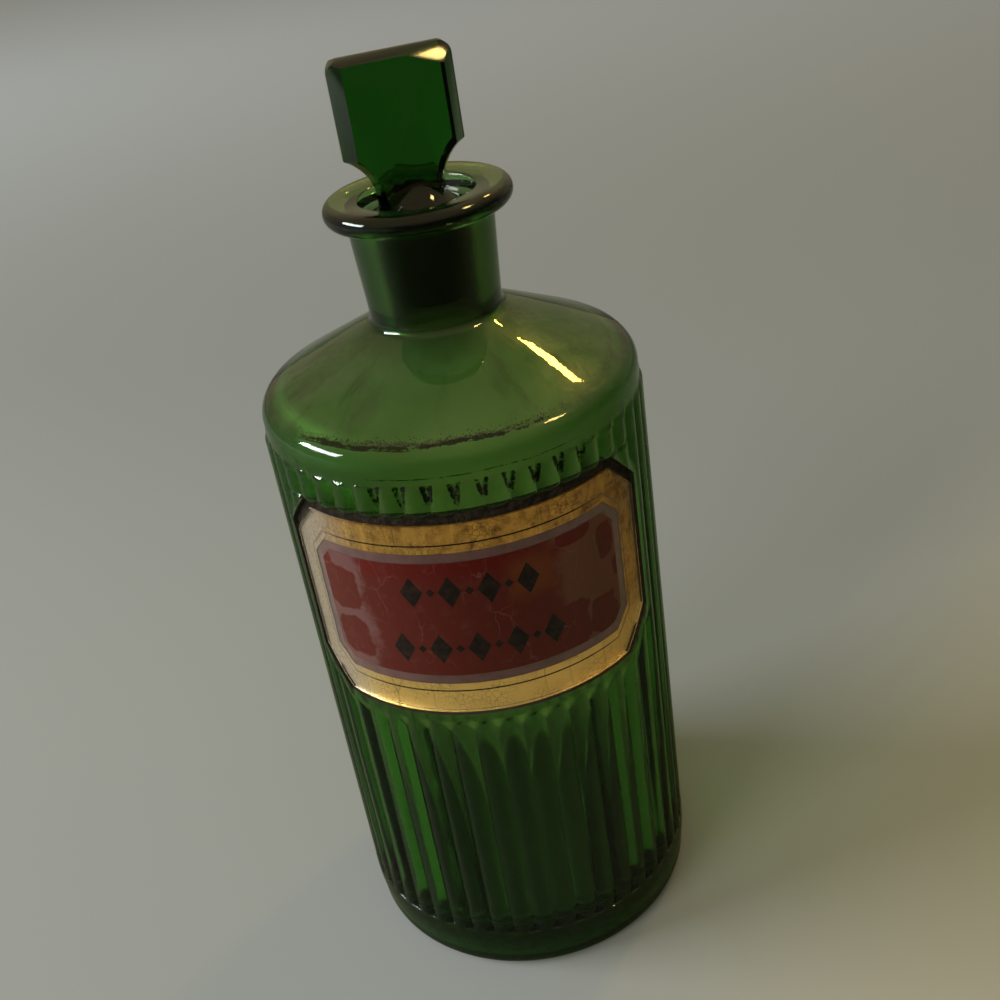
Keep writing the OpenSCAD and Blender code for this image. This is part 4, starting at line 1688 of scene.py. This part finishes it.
@dataclass(frozen=True)
class Lamp:
    """A soft rectangular lamp that shines at the bottle.

    Args:
        name: Name of the lamp.
        way: Direction from the bottle to the lamp.
        distance: How far away it is.
        size: Its width and height.
        power: Its power, in watts.
        colour: Its colour.
        unseen: Kinds of ray that don't meet it.
    """

    name: str
    way: tuple[float, float, float]
    distance: float
    size: Point
    power: float
    colour: Colour
    unseen: tuple[str, ...] = ()

    def add(self) -> None:
        """Puts it in the scene."""
        data = bpy.data.lights.new(self.name, "AREA")
        data.shape = "RECTANGLE"
        data.size, data.size_y = self.size
        data.energy = self.power
        data.color = self.colour
        lamp = bpy.data.objects.new(self.name, data)
        bpy.context.scene.collection.objects.link(lamp)
        back = Vector(self.way).normalized()
        lamp.location = Vector((0.0, 0.0, 0.1)) + back * self.distance
        lamp.rotation_mode = "QUATERNION"
        lamp.rotation_quaternion = back.to_track_quat("Z", "Y")
        for kind in self.unseen:
            setattr(lamp, f"visible_{kind}", False)


LAMPS = (
    Lamp("window", (-0.9, -0.05, 0.43), 2.4, (1.33, 0.5), 46.0, (0.93, 1.0, 0.98)),
    Lamp(
        "soft_fill", (-0.6, -0.62, 0.5), 2.4, (0.9, 0.9), 14.0, (1.0, 0.97, 0.9),
        unseen=("glossy", "transmission"),
    ),
    Lamp("warm_lamp", (0.44, 0.53, 0.725), 1.2, (0.07, 0.07), 1.15, (1.0, 0.6, 0.1)),
    Lamp("warm_glow", (0.585, -0.05, 0.81), 1.2, (0.16, 0.16), 3.0, (1.0, 0.68, 0.22), unseen=("diffuse",)),
)


@dataclass
class Studio:
    """Floor, lamps, backdrop light and camera, all outside the object.

    Args:
        eye: Place of the camera.
        aim: Point that the camera looks at.
        roll: How far the camera is rolled, in degrees.
        lens: Focal length for a sensor 36 mm wide.
        floor: Colour of the floor.
        shaded_floor: Darker colour of the floor behind the bottle and to its right, which is painted shade.
        warm_lit_floor: Warm colour of the floor in front on the right, which is a painted pool of warm lamp
            light.
        around: Colour of the backdrop past the floor, also seen through glass.
        fill: Light of the room, from in front, on what is not shiny.
        fill_behind: The same from behind.
        lit_far_floor: Lighter colour of the floor far behind, which is painted light.
        dim: Colour of the room in front, seen in gloss.
        side: Colour of the room on the window's side, seen in gloss.
        behind: Colour of the room behind, seen in gloss.
        ceiling: Colour of the room overhead, seen in gloss.
        lit_floor_through: Lighter colour of the floor just behind the bottle, seen only through it, which is
            painted light.
        floor_in_gloss: Colour of the floor in front, seen in gloss.
        near_in_gloss: Colour of the floor close to the bottle, seen in gloss.
    """

    eye: tuple[float, float, float] = (21.56 * MM, -246.48 * MM, 253.62 * MM)
    aim: tuple[float, float, float] = (6.62 * MM, 0.4 * MM, 109.82 * MM)
    roll: float = -9.32
    lens: float = 44.26
    floor: Colour = (0.38, 0.385, 0.383)
    shaded_floor: Colour = (0.315, 0.325, 0.332)
    warm_lit_floor: Colour = (0.455, 0.415, 0.325)
    around: Colour = (0.305, 0.3, 0.288)
    lit_far_floor: Colour = (0.575, 0.58, 0.63)
    fill: Colour = (0.43, 0.43, 0.385)
    fill_behind: Colour = (0.125, 0.125, 0.06)
    dim: Colour = (0.05, 0.042, 0.028)
    side: Colour = (0.24, 0.25, 0.23)
    behind: Colour = (0.26, 0.24, 0.14)
    ceiling: Colour = (0.4, 0.345, 0.18)
    lit_floor_through: Colour = (0.66, 0.6, 0.46)
    floor_in_gloss: Colour = (0.014, 0.012, 0.008)
    near_in_gloss: Colour = (0.13, 0.135, 0.09)
    floor_half: float = 6.0

    def build(self) -> None:
        """Builds the whole setting."""
        self.add_camera()
        self.add_floor()
        self.add_world()
        for lamp in LAMPS:
            lamp.add()
        bpy.context.scene.view_settings.view_transform = "Standard"

    def add_camera(self) -> None:
        """Places the camera, rolled about its line of sight."""
        camera = bpy.data.objects.new("camera", bpy.data.cameras.new("camera"))
        bpy.context.scene.collection.objects.link(camera)
        camera.data.lens = self.lens
        camera.data.sensor_width = 36.0
        camera.data.clip_start = 0.01
        back = (Vector(self.eye) - Vector(self.aim)).normalized()
        turn = back.to_track_quat("Z", "Y").to_matrix().to_4x4()
        roll = Matrix.Rotation(math.radians(self.roll), 4, "Z")
        camera.matrix_world = Matrix.Translation(self.eye) @ turn @ roll
        bpy.context.scene.camera = camera

    def add_floor(self) -> None:
        """Adds the floor, a little uneven in tone, with painted shade behind the bottle, a painted pool of
        warm light in front on the right, painted light far behind, and a painted light patch behind the
        bottle that only rays through glass see.
        """
        half = self.floor_half
        mesh = bpy.data.meshes.new("floor")
        corners = ((-half, -half), (half, -half), (half, half), (-half, half))
        mesh.from_pydata([(x, y, -0.05 * MM) for x, y in corners], [], [(0, 1, 2, 3)])
        material, graph, out = start_material("pale_floor")
        place = graph.place()
        x, y, _ = graph.split(place)
        colour = graph.blend(graph.noise(place, 3.0, 3.0), self.floor, tuple(0.96 * c for c in self.floor))
        # Painted shade: the floor is darker behind the bottle and to its right.
        colour = graph.blend(graph.rise(x * 0.5 + y, -0.02, 0.3), colour, self.shaded_floor)
        # Painted light: a warm pool on the floor in front on the right.
        colour = graph.blend(graph.rise(y * -0.8 + x, 0.02, 0.16), colour, self.warm_lit_floor)
        # Painted light: the floor grows lighter far behind.
        colour = graph.blend(graph.rise(y, 0.35, 1.6), colour, self.lit_far_floor)
        # Painted light: a lighter patch of floor just behind the bottle, seen only through glass.
        patch = graph.within(y, (0.05, 0.09), (0.3, 0.18)) * graph.rise(abs(x), 0.11, 0.05)
        colour = graph.blend(patch * graph.ray("Transmission"), colour, self.lit_floor_through)
        in_gloss = graph.blend(graph.rise(y, -0.3, -0.1), self.floor_in_gloss, self.near_in_gloss)
        lit = graph.most(graph.rise(x, -0.25, -0.95), graph.rise(y, 0.0, 0.4))
        in_gloss = graph.blend(lit, in_gloss, self.side)
        graph.surface(out, 0.5, graph.blend(self.only_gloss(graph), colour, in_gloss), 0.75)
        mesh.materials.append(material)
        add_object("floor", mesh)

    @staticmethod
    def only_gloss(graph: Graph) -> Wire:
        """1 for a ray that was reflected by gloss, 0 for one that came through glass."""
        return (1.0 - graph.ray("Transmission")) * graph.ray("Glossy")

    def add_world(self) -> None:
        """Adds the light of the room, which shows as the backdrop past the floor."""
        world = bpy.data.worlds.new("room")
        world.use_nodes = True
        bpy.context.scene.world = world
        background = world.node_tree.nodes["Background"]
        graph = Graph(world.node_tree)
        seen = graph.most(graph.ray("Camera"), graph.ray("Transmission"))
        x, y, z = graph.split(graph.out("ShaderNodeTexCoord", output="Generated"))
        light = graph.blend(graph.rise(x * 0.75 + y, -0.4, 0.4), self.fill, self.fill_behind)
        colour = graph.blend(seen, light, self.around)
        room = graph.blend(graph.rise(x, -0.35, -0.9), self.dim, self.side)
        room = graph.blend(graph.rise(y, 0.15, 0.7), room, self.behind)
        room = graph.blend(graph.rise(z, 0.1, 0.7), room, self.ceiling)
        graph.feed(background.inputs["Color"], graph.blend(self.only_gloss(graph), colour, room))


def main() -> None:
    """Builds the pieces in order and reports each."""
    shell = BottleShell()
    effects = Effects(shell.body_r)
    studio = Studio()
    studio.build()
    ground_top = shell.lip_top - shell.bore_drop
    glass = GlassFinish(
        "bottle_green", (0.31, 0.66, 0.1), 290.0, smears=0.05, swell=0.00015,
        ground_top=ground_top, ground_low=ground_top - shell.bore_l, ground_r=shell.bore_r + 0.1 * MM,
        ground_rough=0.12, residue=0.1, dust=0.6, shade=GREEN_SHADE, stain=(0.52, 0.46, 0.5),
    )
    mesh = shell.make_mesh()
    seat = CoatFinish("pitch_on_glass", (0.016, 0.012, 0.008), (0.035, 0.028, 0.02), scale=0.8)
    foot = CoatFinish("scuffed_foot", (0.5, 0.58, 0.4), (0.34, 0.42, 0.27), scale=0.4, rough=0.7)
    for finish in (glass, seat, foot):
        mesh.materials.append(finish.make(effects))
    place_piece(add_object("bottle_glass", mesh), Body.BOTTLE, "bottle_glass", ["bottle"])
    Label(shell.label, shell.body_r).build(effects)
    Stopper().build(effects)
    Dust(shell).build(effects)


if __name__ == "__main__":
    main()
